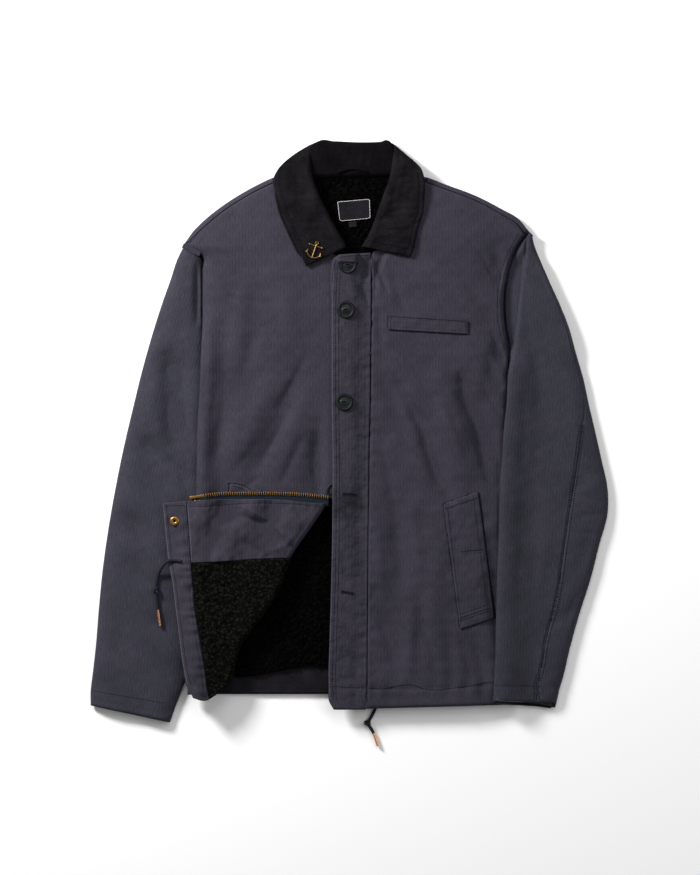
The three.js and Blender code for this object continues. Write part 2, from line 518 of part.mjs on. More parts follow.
// Height under the turned corner by distance in from the body's edge
const cornerRest = through([
  [-50, 15.2], [-28, 17], [-12, 21], [0, 23.6], [8, 25.2], [14, 25.4], [22, 24.2], [36, 21.8], [60, 20.3],
  [90, 19.9], [240, 19.9]]);
const cornerFolds = [[-150, -100, -92, -160, 9, 1.2], [-175, -110, -120, -166, 8, -0.9],
  [-180, -230, -150, -280, 10, 0.8]];
const cornerFloor = (x, y) => cornerRest(x - leftEdge(y)) + folds(cornerFolds, x, y);
const arch = x => 24 * clamp((x + 251) / 228) * clamp((-27 - x) / 228) * ease((-32 - x) / 60);
function cornerSpot(v, share) {
  const [xl, yl, xs, ys] = cornerRows(v), yr = ys, xr = foldLine(yr);
  const x = mix(xr, xl, share), y = mix(yr, yl, share);
  return { x, y: y + arch(x) * (1 - ease(v / 0.3)), width: xr - xl, seam: (xr - xs) / (xr - xl) };
}
// Distances in from the body's edge at which the corner's layers are sectioned
const cornerSteps = [120, 84, 60, 44, 32, 22, 12, 2, -10, -22, -36];
const foldArcs = [-90, -55, -20, 15, 50, 90];
// Rolled fold then flat run: levels are heights of the lower end and offsets over the corner's floor
function turned(v0, v1, nv, shareEnd, level) {
  return wall(foldArcs.length + cornerSteps.length, nv, (i, j) => {
    const v = mix(v0, v1, j / nv), ref = cornerSpot(v, 0), end = shareEnd(v, ref);
    const pivot = cornerSpot(v, foldReach / ref.width), floor = cornerFloor(pivot.x, pivot.y);
    const low = frontInner(pivot.x, pivot.y), high = frontOuter(pivot.x, pivot.y);
    const side = (reach, lowZ, upZ, up) => {
      if (i < foldArcs.length) {
        const a = foldArcs[i] * Math.PI / 180, mid = (lowZ + upZ) / 2, half = (upZ - lowZ) / 2;
        const p = cornerSpot(v, (foldReach - reach * Math.cos(a)) / ref.width);
        return [p.x, p.y, mid + half * Math.sin(a)];
      }
      const k = i - foldArcs.length, n = cornerSteps.length;
      const want = (ref.x - leftEdge(ref.y) - cornerSteps[Math.min(k, n - 1)]) / ref.width;
      const first = foldReach / ref.width, small = 0.5 / ref.width;
      const share = k === n ? end : Math.min(end - small * (n - k), Math.max(first + small * (k + 1), want));
      const p = cornerSpot(v, share);
      return [p.x, p.y, cornerFloor(p.x, p.y) + up];
    };
    const lo = mix(low, high, level.outLow), li = mix(low, high, level.inLow);
    const out = level.outUp - (i === foldArcs.length + cornerSteps.length ? level.taper : 0);
    return [...side(level.outReach, lo, floor + level.outUp, out),
      ...side(level.inReach, li, floor + level.inUp, level.inUp)];
  });
}
const layer = flapShell + seamGap;
add('front_right_turned', turned(0, 1, 14, () => 1, {
  outReach: 4.7, inReach: 2.2, outLow: 0.58, inLow: 0.96, outUp: flapShell, inUp: 0, taper: 0.6
}), '#3a3841');
const facingEnd = 4 / 14;
add('facing_right', turned(0, facingEnd, 4, (v, r) => r.seam - seamGap / r.width, {
  outReach: 7.4, inReach: 5.2, outLow: 0.02, inLow: 0.5, outUp: layer + 1.4 + facingWall, inUp: layer + 1.4,
  taper: 0.5
}), '#3d3a43');
add('lining_right', turned(facingEnd + 0.0022, 1, 10, (v, r) => r.seam - seamGap / r.width, {
  outReach: foldReach, inReach: 5.2, outLow: 0.0, inLow: 0.5, outUp: layer + flapPile, inUp: layer,
  taper: 2.2
}), '#0c0b0c');
add('hem_facing_right', wall(6, 14, (i, j) => {
  const u = [0, 0.08, 0.25, 0.5, 0.75, 0.93, 1][i], v = j / 14, ref = cornerSpot(v, 0);
  const p = cornerSpot(v, mix(0.9985, ref.seam, u)), z = cornerFloor(p.x, p.y) + layer + 0.5;
  const edge = 0.7 * (1 - bend(Math.min(u, 1 - u) / 0.15));
  return [p.x, p.y, z + 2 - edge, p.x, p.y, z];
}), '#424049');

// Zip half along the turned front edge: tape under the facing, toothed row in front of it
const zipSpan = [-213, -26];
add('zip_tape_right', wall(12, 2, (i, j) => {
  const x = mix(zipSpan[0], zipSpan[1] - 17, i / 12), y = mix(-101, -90.4, j / 2) + arch(x);
  const z = cornerFloor(x, y) + layer + 0.25;
  return [x, y, z + 0.6, x, y, z];
}), '#1d2230');
add('zip_teeth_right', wall(12, 3, (i, j) => {
  const x = mix(zipSpan[0] - 2, zipSpan[1], i / 12), w = [0, 0.25, 0.75, 1][j];
  const y = mix(-90, -90 + chainWidth, w) + arch(x), z = cornerFloor(x, -92 + arch(x)) + flapShell - 1.2;
  const round = w === 0 || w === 1 ? 0.7 : 0;
  return [x, y, z + 3.3 - round, x, y, z + round];
}), '#a97f45', 0.35, 0.9);
add('zip_pin_right', wall(2, 2, (i, j) => {
  const x = mix(-221.5, -215.4, i / 2), y = mix(-92.6, -82.6, j / 2) + arch(x) * 0.5;
  const z = cornerFloor(-216, -92) + flapShell - 1.6, round = i !== 1 || j !== 1 ? 0.5 : 0;
  return [x, y, z + 4.2 - round, x, y, z + round];
}), '#9a7440', 0.35, 0.9);

// Collar

// Roll edge, free edge, floor under the roll, lift of the leaf, reach of the stand back under it
const leafRight = columns([
  [-42.5, 390, -55, 385, 1, 6, 5], [-50.5, 379, -74, 373, 4, 10, 12], [-52.5, 363, -94, 355, 10, 15.5, 24],
  [-49.5, 342, -103, 336, 9.4, 17.8, 33], [-40, 316, -97, 316, 9.2, 19, 35],
  [-29, 294, -90, 290, 9.2, 19.4, 34], [-17, 271, -79, 265, 9.2, 19.4, 31],
  [-7, 254, -67, 240, 9.2, 19.4, 24], [-5, 247, -58, 221, 9.2, 19.4, 12]]);
const leafLeft = columns([
  [52.5, 391, 62, 385, 1, 6, 5], [57.5, 379, 78, 371, 4, 10, 10], [57.5, 362, 95, 355, 10, 15.5, 20],
  [53.5, 340, 101, 338, 9.4, 17.2, 32], [46, 319, 101, 316, 9.2, 18.1, 34],
  [38, 296, 99, 294, 9.2, 18.4, 34], [29, 271, 92, 271, 9.2, 18.6, 32],
  [20, 254, 87, 247, 9.2, 18.8, 24], [16, 248, 82, 234, 9.2, 18.8, 16]]);
const leafShares = [0.1, 0.26, 0.5, 0.76, 0.94, 1];
const rollArcs = [-90, -52, -16, 20, 55, 90];
function collarLeaf(rows) {
  const nv = 12, rollReach = 6.6;
  return wall(1 + rollArcs.length + leafShares.length - 1, nv, (i, j) => {
    const [xi, yi, xo, yo, low, lift, stand] = rows(j / nv), width = Math.hypot(xo - xi, yo - yi);
    const dx = (xo - xi) / width, dy = (yo - yi) / width, reach = Math.min(rollReach, width * 0.4);
    const at = (s, z) => [xi + dx * s, yi + dy * s, z];
    const top = lift + collarWall, end = j === 0 || j === nv ? 0.7 : 0;
    if (i === 0) return [...at(Math.max(stand, reach + 1), low), ...at(Math.max(stand, reach + 1), low + 3)];
    if (i <= rollArcs.length) {
      const a = rollArcs[i - 1] * Math.PI / 180, inner = reach - 3.2;
      return [...at(reach - reach * Math.cos(a), mix(low, top - end, 0.5 + 0.5 * Math.sin(a))),
        ...at(reach - inner * Math.cos(a), mix(low + 3, lift + end * 0.4, 0.5 + 0.5 * Math.sin(a)))];
    }
    const k = leafShares[i - 1 - rollArcs.length], s = mix(reach, width, k);
    const edge = k === 1 ? 1.3 : 0, droop = lift < 15 ? (1 - lift / 19) * 4 * k : 0;
    return [...at(s, top - edge - end - droop), ...at(s, lift + edge * 0.5 + end * 0.4 - droop)];
  });
}
add('collar_leaf_right', collarLeaf(leafRight), '#1b191c');
add('collar_leaf_left', collarLeaf(leafLeft), '#1b191c');

// Back of the collar: inside face toward the viewer, roll at the top, fall behind the neck
const collarTop = through([[-48, 384], [-41, 390.4], [-20, 390.6], [12, 389.2], [40, 390], [51, 391.4],
  [56, 386]]);
const collarSideRight = through([[342, -49.5], [363, -52.5], [379, -50.5], [390, -42.5], [392, -41]]);
const collarSideLeft = through([[340, 53.5], [362, 57.5], [379, 57.5], [391, 52.5], [393, 51]]);
add('collar_back', wall(15, 8, (i, j) => {
  const u = j / 8, rimY = collarTop(mix(-42, 52, u)), seam = 345.2 + 1.6 * u;
  const at = (y, z) => [mix(collarSideRight(y) + 0.5, collarSideLeft(y) - 0.5, u), y, z];
  const fall = [[seam + 0.2, 0, 4.5], [356, 0, 4.5], [370, 0, 4.6], [rimY - 8, 0, 4.8]];
  if (i < 4) return [...at(fall[i][0], fall[i][1] + (i === 0 ? 0.8 : 0)), ...at(fall[i][0], fall[i][2])];
  if (i < 10) {
    const a = (-80 + 32 * (i - 4)) * Math.PI / 180;
    return [...at(rimY - 6.6 + 6.6 * Math.cos(a), 6.8 + 6.8 * Math.sin(a)),
      ...at(rimY - 6.6 + 3.2 * Math.cos(a), 7 + 2.3 * Math.sin(a))];
  }
  const k = [0.08, 0.3, 0.55, 0.8, 0.97, 1][i - 10], y = mix(rimY - 8.4, seam, k);
  return [...at(y, 13.6 + 0.6 * Math.sin(Math.PI * k) - (k === 1 ? 0.5 : 0)), ...at(y, 9.4)];
}), '#161415');

// Under collar, showing along the free edge of the wearer's right leaf
add('under_collar_right', wall(3, 8, (i, j) => {
  const [xi, yi, xo, yo, , lift] = leafRight(mix(0.4, 0.96, j / 8)), width = Math.hypot(xo - xi, yo - yi);
  const dx = (xo - xi) / width, dy = (yo - yi) / width, s = width + [-9, -3, 2, 4.6][i];
  const x = xi + dx * s, y = yi + dy * s, z = Math.min(lift - 1.1, frontOuter(x, y) + 0.3);
  return [x, y, z + 0.8, x, y, z];
}), '#141215');

// Laid-on pieces: corners in order round the piece, surface below, thickness
function patch(corners, nu, nv, surface, lift, thick, soft = 0.4) {
  const [a, b, c, d] = corners;
  return wall(nu, nv, (i, j) => {
    const u = i / nu, v = j / nv;
    const x = mix(mix(a[0], b[0], u), mix(d[0], c[0], u), v);
    const y = mix(mix(a[1], b[1], u), mix(d[1], c[1], u), v), z = surface(x, y) + lift;
    const rim = i === 0 || j === 0 || i === nu || j === nv ? soft : 0;
    return [x, y, z + thick - rim, x, y, z];
  });
}
add('chest_welt', patch([[52, 154], [160, 147], [160, 130], [52, 136]], 8, 3, frontOuter, 0.35, weltWall),
  '#38363e');
add('pocket_welt_left', patch([[126, -98], [173, -81], [195, -252], [149, -267]], 4, 10, frontOuter, 0.35,
  weltWall), '#34333a');
add('pocket_welt_right', patch([[-160, -70], [-118, -80], [-120, -93], [-163, -93]], 4, 2, frontOuter, 0.5,
  1.1), '#34333a');
add('label', patch([[-17, 309], [28, 313], [29, 286], [-14, 282]], 4, 3, liningTop, 0.35, 0.8, 0.1),
  '#0e0e10');
add('size_tab', patch([[-1, 281.5], [10, 282.5], [10.4, 275], [-0.6, 274]], 2, 2, liningTop, 0.35, 0.6, 0.1),
  '#101012');
add('hang_loop', wall(8, 2, (i, j) => {
  const t = i / 8, x = mix(-16, 24, t), rise = 8.5 * Math.sin(Math.PI * t);
  const y = mix(346.6, 351, j / 2) + rise * 0.6, z = 14.3 + 0.8 * Math.sin(Math.PI * t);
  return [x, y, z + 1.2, x, y, z];
}), '#1c1a1d');

// Fastenings
function turnedRing(profile, segments) {
  const n = profile.length, points = [], faces = [];
  for (let s = 0; s < segments; s++) {
    const a = 2 * Math.PI * s / segments;
    for (const [r, z] of profile) points.push([r * Math.cos(a), r * Math.sin(a), z]);
  }
  const id = (s, k) => (s % segments) * n + k;
  for (let s = 0; s < segments; s++) for (let k = 0; k < n; k++) {
    const m = (k + 1) % n;
    faces.push([id(s, k), id(s + 1, k), id(s + 1, m)], [id(s, k), id(s + 1, m), id(s, m)]);
  }
  return closed(points, faces);
}
function button(x, y, z) {
  const r = buttonDia / 2, t = buttonThick;
  const profile = [[0.4, 0], [r - 0.8, 0], [r, 1.1], [r - 0.6, t], [r - 3, t], [r - 3.9, t - 0.8],
    [0.4, t - 1]];
  return turnedRing(profile, 12).translate(x, y, z);
}
const flatOver = (x, y, r, surface) => Math.max(...[0, 1, 2, 3, 4, 5, 6, 7].map(k =>
  surface(x + r * Math.cos(k * Math.PI / 4), y + r * Math.sin(k * Math.PI / 4))), surface(x, y));
const shownButtons = [['button_1', -3, 219.5], ['button_2', -5, 163], ['button_3', -7, 39]];
for (const [name, x, y] of shownButtons) {
  add(name, button(x, y, flatOver(x, y, buttonDia / 2, placketTop) + 0.3), '#2c2b2a', 0.35);
}
add('button_4', button(heldButton[0], heldButton[1],
  flatOver(heldButton[0], heldButton[1], buttonDia / 2, (x, y) => frontOuter(Math.min(x, -9), y)) + 0.3),
  '#2c2b2a', 0.35);

const eyeletAt = [-235, -121];
add('eyelet', turnedRing([[2.9, 0], [6, 0], [6.2, 0.5], [5, 1.5], [3.6, 1.5], [2.9, 0.9]], 16)
  .translate(eyeletAt[0], eyeletAt[1], flatOver(eyeletAt[0], eyeletAt[1], 6, cornerFloor) + layer + 2.7),
  '#a97f45', 0.35, 0.9);

// Hem drawcord ends: route points, then knot and tip
function tube(points, radius, sides = 8, steps = 3) {
  const path = new THREE.CatmullRomCurve3(points.map(p => new THREE.Vector3(...p)));
  const circle = new THREE.Shape();
  for (let k = 0; k < sides; k++) {
    const a = 2 * Math.PI * k / sides;
    if (k) circle.lineTo(radius * Math.cos(a), radius * Math.sin(a));
    else circle.moveTo(radius, 0);
  }
  return new THREE.ExtrudeGeometry(circle, { steps: steps * (points.length - 1), extrudePath: path });
}
const sleeveFace = (x, y) => sleeveBulk + folds(sleeveFolds, x, y);
const onSleeve = (x, y, r) => [x, y, sleeveFace(x, y) + r + 0.5];
const cordRadius = cordDia / 2;
const cordRight = [
  [-226, -175, cornerFloor(-226, -175) + layer + 2.8 + cordRadius],
  [-235, -173.5, cornerFloor(-235, -174) + layer + 2.8 + cordRadius],
  [-244, -175, cornerFloor(-244, -175) + layer + 2.6 + cordRadius],
  [-252, -183, cornerFloor(-248, -183) + 3 + cordRadius],
  onSleeve(-258, -196, cordRadius), onSleeve(-260.5, -209.4, cordRadius)];
const cordLeft = [
  [37, -343, 7.7], [37, -355, 7.4], [36.4, -366, 3.6], [34.6, -375, 2.2], [30, -384.6, 2.1],
  [27.1, -389.3, 2.1]];
add('drawcord_right', tube(cordRight, cordRadius), '#25272f');
add('drawcord_left', tube(cordLeft, cordRadius), '#25272f');
const knot = (x, y, z) => new THREE.SphereGeometry(1, 12, 8).scale(4.2, 5, 3.4).translate(x, y, z);
add('knot_right', knot(-260.6, -214.8, sleeveFace(-260.6, -215) + 3.8), '#25272f');
add('knot_left', knot(24.6, -393.8, 3.5), '#25272f');
function tip(from, to, radius) {
  return tube([from, to], radius, 10, 1);
}
add('tail_right', tube([onSleeve(-260.5, -220.2, cordRadius), onSleeve(-259, -230, cordRadius),
  onSleeve(-258, -240, cordRadius)], cordRadius, 8, 3), '#25272f');
add('tail_left', tube([[27, -398.3, 2.2], [30.4, -403.6, 2.2], [32.4, -407, 2.2]], cordRadius, 8, 3),
  '#25272f');
add('tip_right', tip(onSleeve(-257.8, -240.5, 2.1), onSleeve(-255, -262, 2.1), 2.1), '#6f5a3a', 0.4, 0.7);
add('tip_left', tip([32.7, -407.5, 2.5], [38.6, -425, 2.5], 2.1), '#6f5a3a', 0.4, 0.7);

// Plain anchor pin on the wearer's right leaf, drawn upright then leaned
function anchorPin() {
  const s = new THREE.Shape();
  const half = [
    [0, 15], [1.6, 14.2], [1.5, 11.6], [7.4, 11.9], [7.6, 9.4], [1.5, 9.2], [1.7, -8.6], [5.2, -7.4],
    [8.2, -4.2], [6.4, -3.6], [11.8, 1.8], [12.6, -5.4], [10.6, -5], [7.4, -9.8], [3, -12.8], [0, -14.6]];
  half.forEach(([x, y], i) => (i ? s.lineTo(x, y) : s.moveTo(x, y)));
  half.slice(1, -1).reverse().forEach(([x, y]) => s.lineTo(-x, y));
  const plate = new THREE.ExtrudeGeometry(s, {
    depth: 1.2, bevelEnabled: true, bevelThickness: 0.5, bevelSize: 0.35, bevelSegments: 1
  });
  const ring = new THREE.TorusGeometry(3, 0.9, 6, 12).translate(0, 16.4, 1.1);
  const weld = g => {
    const p = g.attributes.position, map = new Map(), points = [], index = [];
    const ids = g.index ? Array.from(g.index.array) : Array.from({ length: p.count }, (_, i) => i);
    for (const i of ids) {
      const key = [p.getX(i), p.getY(i), p.getZ(i)].map(c => c.toFixed(4)).join();
      if (!map.has(key)) { map.set(key, points.length); points.push([p.getX(i), p.getY(i), p.getZ(i)]); }
      index.push(map.get(key));
    }
    const faces = [];
    for (let i = 0; i < index.length; i += 3) {
      const f = index.slice(i, i + 3);
      if (new Set(f).size === 3) faces.push(f);
    }
    return closed(points, faces);
  };
  return joined(weld(plate), weld(ring));
}
const pinAt = [-47.5, 242];
const leafTopZ = 19.4 + collarWall;
add('anchor_pin', anchorPin().rotateZ(-0.5).scale(0.78, 0.78, 1)
  .translate(pinAt[0], pinAt[1], leafTopZ + 0.85), '#b08a4a', 0.35, 0.9);

// Origin on the table, under the middle of the jacket without its drawcord
const cordNames = ['drawcord_right', 'drawcord_left', 'knot_right', 'knot_left', 'tail_right', 'tail_left',
  'tip_right', 'tip_left'];
const extent = new THREE.Box3();
for (const mesh of group.children) if (!cordNames.includes(mesh.name)) extent.expandByObject(mesh, true);
const middle = extent.getCenter(new THREE.Vector3());
for (const mesh of group.children) mesh.geometry.translate(-middle.x, -middle.y, 0);

export default group;
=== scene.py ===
import bpy
import bmesh
import math
import numpy as np
from mathutils import Matrix, Vector
from mathutils.bvhtree import BVHTree


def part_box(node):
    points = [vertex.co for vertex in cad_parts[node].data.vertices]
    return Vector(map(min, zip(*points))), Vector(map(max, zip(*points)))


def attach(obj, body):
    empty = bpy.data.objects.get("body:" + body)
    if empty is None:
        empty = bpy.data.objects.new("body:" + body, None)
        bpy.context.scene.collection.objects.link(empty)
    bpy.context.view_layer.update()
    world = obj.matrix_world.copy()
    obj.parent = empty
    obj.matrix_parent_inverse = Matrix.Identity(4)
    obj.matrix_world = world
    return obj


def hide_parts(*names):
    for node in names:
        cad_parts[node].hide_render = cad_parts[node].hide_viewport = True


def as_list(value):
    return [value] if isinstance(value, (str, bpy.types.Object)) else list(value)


# Deck jacket laid flat: a cotton shell over pile, felt collar, buttoned fly, one lower corner turned out.
# Shapes are worked out in sheet millimetres, X to the right and Y toward the collar, Z up off the table.

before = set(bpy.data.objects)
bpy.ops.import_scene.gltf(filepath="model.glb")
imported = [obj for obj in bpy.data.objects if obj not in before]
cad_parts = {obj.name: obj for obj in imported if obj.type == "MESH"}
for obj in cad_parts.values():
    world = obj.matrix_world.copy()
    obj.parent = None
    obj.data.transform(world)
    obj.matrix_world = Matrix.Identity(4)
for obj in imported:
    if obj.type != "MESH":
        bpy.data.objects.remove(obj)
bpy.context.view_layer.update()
bpy.ops.object.select_all(action="DESELECT")
print("stage: frame loaded,", len(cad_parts), "nodes")

# The sheet's origin in the frame, from a button whose place on the sheet is known
buttonLow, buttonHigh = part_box("button_2")
sheetShift = np.array([(buttonLow.x + buttonHigh.x) * 500 + 5, (buttonLow.y + buttonHigh.y) * 500 - 163, 0.0])


def toFrame(points):
    return (np.asarray(points, float) + sheetShift) / 1000


# Curves and easing

def clamp(t):
    return np.clip(t, 0.0, 1.0)


def ease(t):
    k = clamp(t)
    return k * k * (3 - 2 * k)


def bend(t):
    k = 1 - clamp(t)
    return np.sqrt(np.maximum(0, 1 - k * k))


def mix(a, b, t):
    return a + (b - a) * t


def hill(t):
    # 1 in the middle, falling away on both sides
    return np.exp(-t ** 2)


def grid(x, y, z):
    return np.stack([x, y, z], -1)


def through(table):
    s = np.array([row[0] for row in table], float)
    v = np.array([row[1] for row in table], float)
    h = np.diff(s)
    rise = np.diff(v) / h
    slope = np.empty(len(s))
    slope[0], slope[-1] = rise[0], rise[-1]
    slope[1:-1] = (rise[:-1] * h[1:] + rise[1:] * h[:-1]) / (h[:-1] + h[1:])

    def line(t):
        t = np.asarray(t, float)
        i = np.clip(np.searchsorted(s, t, side="left") - 1, 0, len(s) - 2)
        k = clamp((t - s[i]) / h[i])
        k2, k3 = k * k, k * k * k
        return ((2 * k3 - 3 * k2 + 1) * v[i] + (k3 - 2 * k2 + k) * h[i] * slope[i]
                + (3 * k2 - 2 * k3) * v[i + 1] + (k3 - k2) * h[i] * slope[i + 1])
    return line


def columns(rows):
    r = np.array(rows, float)
    step = (np.hypot(r[1:, 0] - r[:-1, 0], r[1:, 1] - r[:-1, 1])
            + np.hypot(r[1:, 2] - r[:-1, 2], r[1:, 3] - r[:-1, 3])) / 2
    at = np.concatenate([[0], np.cumsum(step)])
    at = at / at[-1]
    lines = [through(list(zip(at, r[:, c]))) for c in range(r.shape[1])]
    return lambda v: [f(v) for f in lines]


def along(points):
    p = np.array(points, float)
    at = np.concatenate([[0], np.cumsum(np.hypot(np.diff(p[:, 0]), np.diff(p[:, 1])))])
    at = at / at[-1]
    fx, fy = through(list(zip(at, p[:, 0]))), through(list(zip(at, p[:, 1])))
    return lambda t: (fx(t), fy(t))


def lineSpot(x, y, points):
    # distance to a line of plan points, length along it, and which side
    best = np.full(np.shape(x), 1e9)
    run = np.zeros(np.shape(x))
    side = np.ones(np.shape(x))
    done = 0.0
    for (ax, ay), (bx, by) in zip(points[:-1], points[1:]):
        length = math.hypot(bx - ax, by - ay)
        t = clamp(((x - ax) * (bx - ax) + (y - ay) * (by - ay)) / length ** 2)
        d = np.hypot(x - mix(ax, bx, t), y - mix(ay, by, t))
        near = d < best
        best = np.where(near, d, best)
        run = np.where(near, done + t * length, run)
        side = np.where(near, np.sign((bx - ax) * (y - ay) - (by - ay) * (x - ax)), side)
        done += length
    return best, run, side


def shareAt(rows, column, y):
    a, b = 0.0, 1.0
    rising = rows(1)[column] > rows(0)[column]
    for _ in range(40):
        m = (a + b) / 2
        if (rows(m)[column] < y) == rising:
            a = m
        else:
            b = m
    return (a + b) / 2


def refine(values, step):
    # the same stations with more between them, none further apart than the step
    out = [values[0]]
    for a, b in zip(values[:-1], values[1:]):
        n = max(1, math.ceil(abs(b - a) / step))
        out += [a + (b - a) * (i + 1) / n for i in range(n)]
    return np.array(out)


def swell(x, y, length, seed, waves=9):
    # calm uneven height, about -1 to 1, with hollows about one length apart
    rng = np.random.default_rng(seed)
    z = np.zeros(np.broadcast(x, y).shape)
    for _ in range(waves):
        turn, phase = rng.uniform(0, 2 * math.pi, 2)
        k = 2 * math.pi / (length * rng.uniform(0.7, 1.5))
        z += np.sin(k * (x * math.cos(turn) + y * math.sin(turn)) + phase)
    return z / math.sqrt(waves)


def nubs(x, y, spacing, seed, reach=0.85):
    # round tufts on a jittered grid, 0 between them to 1 at a tuft's crown
    rng = np.random.default_rng(seed)
    n = 64
    jx, jy, tall = rng.uniform(0.1, 0.9, (n, n)), rng.uniform(0.1, 0.9, (n, n)), rng.uniform(0.45, 1, (n, n))
    gx, gy = np.floor(x / spacing).astype(int), np.floor(y / spacing).astype(int)
    top = np.zeros(np.shape(x))
    for dx in (-1, 0, 1):
        for dy in (-1, 0, 1):
            i, j = (gx + dx) % n, (gy + dy) % n
            d = np.hypot(x / spacing - (gx + dx + jx[i, j]), y / spacing - (gy + dy + jy[i, j]))
            top = np.maximum(top, tall[i, j] * np.sqrt(np.maximum(0, 1 - (d / reach) ** 2)))
    return top


# Meshes

def put(name, data):
    obj = bpy.data.objects.new(name, data)
    bpy.context.scene.collection.objects.link(obj)
    return obj


def finishPiece(obj, node, slot, material):
    for face in obj.data.polygons:
        face.use_smooth = True
    obj.data.materials.clear()
    obj.data.materials.append(material)
    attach(obj, "root")
    if node:
        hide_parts(node)
    return obj


def wallFaces(ids, inner):
    quads = [
        np.stack([ids[:-1, :-1], ids[:-1, 1:], ids[1:, 1:], ids[1:, :-1]], -1).reshape(-1, 4),
        np.stack([inner[:-1, :-1], inner[1:, :-1], inner[1:, 1:], inner[:-1, 1:]], -1).reshape(-1, 4),
        np.stack([ids[0, :-1], inner[0, :-1], inner[0, 1:], ids[0, 1:]], -1),
        np.stack([ids[-1, :-1], ids[-1, 1:], inner[-1, 1:], inner[-1, :-1]], -1),
        np.stack([ids[:-1, 0], ids[1:, 0], inner[1:, 0], inner[:-1, 0]], -1),
        np.stack([ids[:-1, -1], inner[:-1, -1], inner[1:, -1], ids[1:, -1]], -1)]
    return np.concatenate(quads)


def clothPiece(name, walls, slot, material, uv=None, stands=True):
    # walls: list of (outer, inner) point grids in sheet mm; uv: the same grids' places in mm
    # a piece that stands for a solid of the frame has that node's name
    points, faces, places, start = [], [], [], 0
    for n, (outer, inner) in enumerate(walls):
        rows, cols = outer.shape[:2]
        ids = start + np.arange(rows * cols).reshape(rows, cols)
        other = ids + rows * cols
        quads = wallFaces(ids, other)
        both = np.concatenate([outer.reshape(-1, 3), inner.reshape(-1, 3)])
        a, b, c, d = (both[quads[:, k] - start] for k in range(4))
        volume = np.einsum("ij,ij->", a, np.cross(b, c)) + np.einsum("ij,ij->", a, np.cross(c, d))
        faces.append(quads if volume > 0 else quads[:, ::-1])
        points.append(both)
        flat = uv[n] if uv is not None else outer[..., :2]
        places.append(np.concatenate([flat.reshape(-1, 2), flat.reshape(-1, 2)]))
        start += len(both)
    points, faces, places = np.concatenate(points), np.concatenate(faces), np.concatenate(places)
    mesh = bpy.data.meshes.new(name + "_cloth")
    mesh.from_pydata(toFrame(points).tolist(), [], faces.tolist())
    layer = mesh.uv_layers.new(name="cloth")
    corner = np.empty(len(mesh.loops), np.int32)
    mesh.loops.foreach_get("vertex_index", corner)
    layer.data.foreach_set("uv", (places[corner] / 1000).astype(np.float32).ravel())
    mesh.update()
    return finishPiece(put(name + "_cloth", mesh), name if stands else None, slot, material)


def halfArea(obj):
    return round(sum(face.area for face in obj.data.polygons) / 2, 4)


# Colours and materials

def tone(code):
    channels = [int(code[i:i + 2], 16) / 255 for i in (1, 3, 5)]
    return tuple(c / 12.92 if c <= 0.04045 else ((c + 0.055) / 1.055) ** 2.4 for c in channels) + (1.0,)


def addNode(tree, kind, settings=None, links=None):
    node = tree.nodes.new(kind)
    for key, value in (settings or {}).items():
        if isinstance(key, int) or key in node.inputs:
            node.inputs[key].default_value = value
        else:
            setattr(node, key, value)
    for key, source in (links or {}).items():
        tree.links.new(source, node.inputs[key])
    return node


def newMaterial(name, rough, metal=0.0, shine=0.5):
    material = bpy.data.materials.new(name)
    material.use_nodes = True
    tree = material.node_tree
    shader = tree.nodes["Principled BSDF"]
    shader.inputs["Roughness"].default_value = rough
    shader.inputs["Metallic"].default_value = metal
    shader.inputs["Specular IOR Level"].default_value = shine
    return material, tree, shader


def blendTones(tree, factor, dark, light, low, high):
    ramp = addNode(tree, "ShaderNodeValToRGB", links={"Fac": factor})
    ramp.color_ramp.elements[0].position, ramp.color_ramp.elements[0].color = low, tone(dark)
    ramp.color_ramp.elements[1].position, ramp.color_ramp.elements[1].color = high, tone(light)
    return ramp.outputs["Color"]


def noiseOn(tree, place, size, detail, rough=0.5):
    # spots about one size apart, in millimetres
    return addNode(tree, "ShaderNodeTexNoise", {"Scale": 1000 / size, "Detail": detail, "Roughness": rough},
                   {"Vector": place}).outputs["Fac"]


def blendNoise(tree, share, first, second):
    settings = {"Factor": share, "data_type": "FLOAT"}
    return addNode(tree, "ShaderNodeMix", settings, {2: first, 3: second}).outputs[0]


def dress(made, factor, tones, relief=None, span=(0.35, 0.65)):
    # made: what newMaterial gives; relief: height, strength and depth in millimetres
    material, tree, shader = made
    tree.links.new(blendTones(tree, factor, *tones, *span), shader.inputs["Base Color"])
    if relief:
        height, strength, depth = relief
        settings = {"Strength": strength, "Distance": depth / 1000}
        bump = addNode(tree, "ShaderNodeBump", settings, {"Height": height})
        tree.links.new(bump.outputs["Normal"], shader.inputs["Normal"])
    return material


def ownPlace(tree):
    return addNode(tree, "ShaderNodeTexCoord").outputs["Object"]


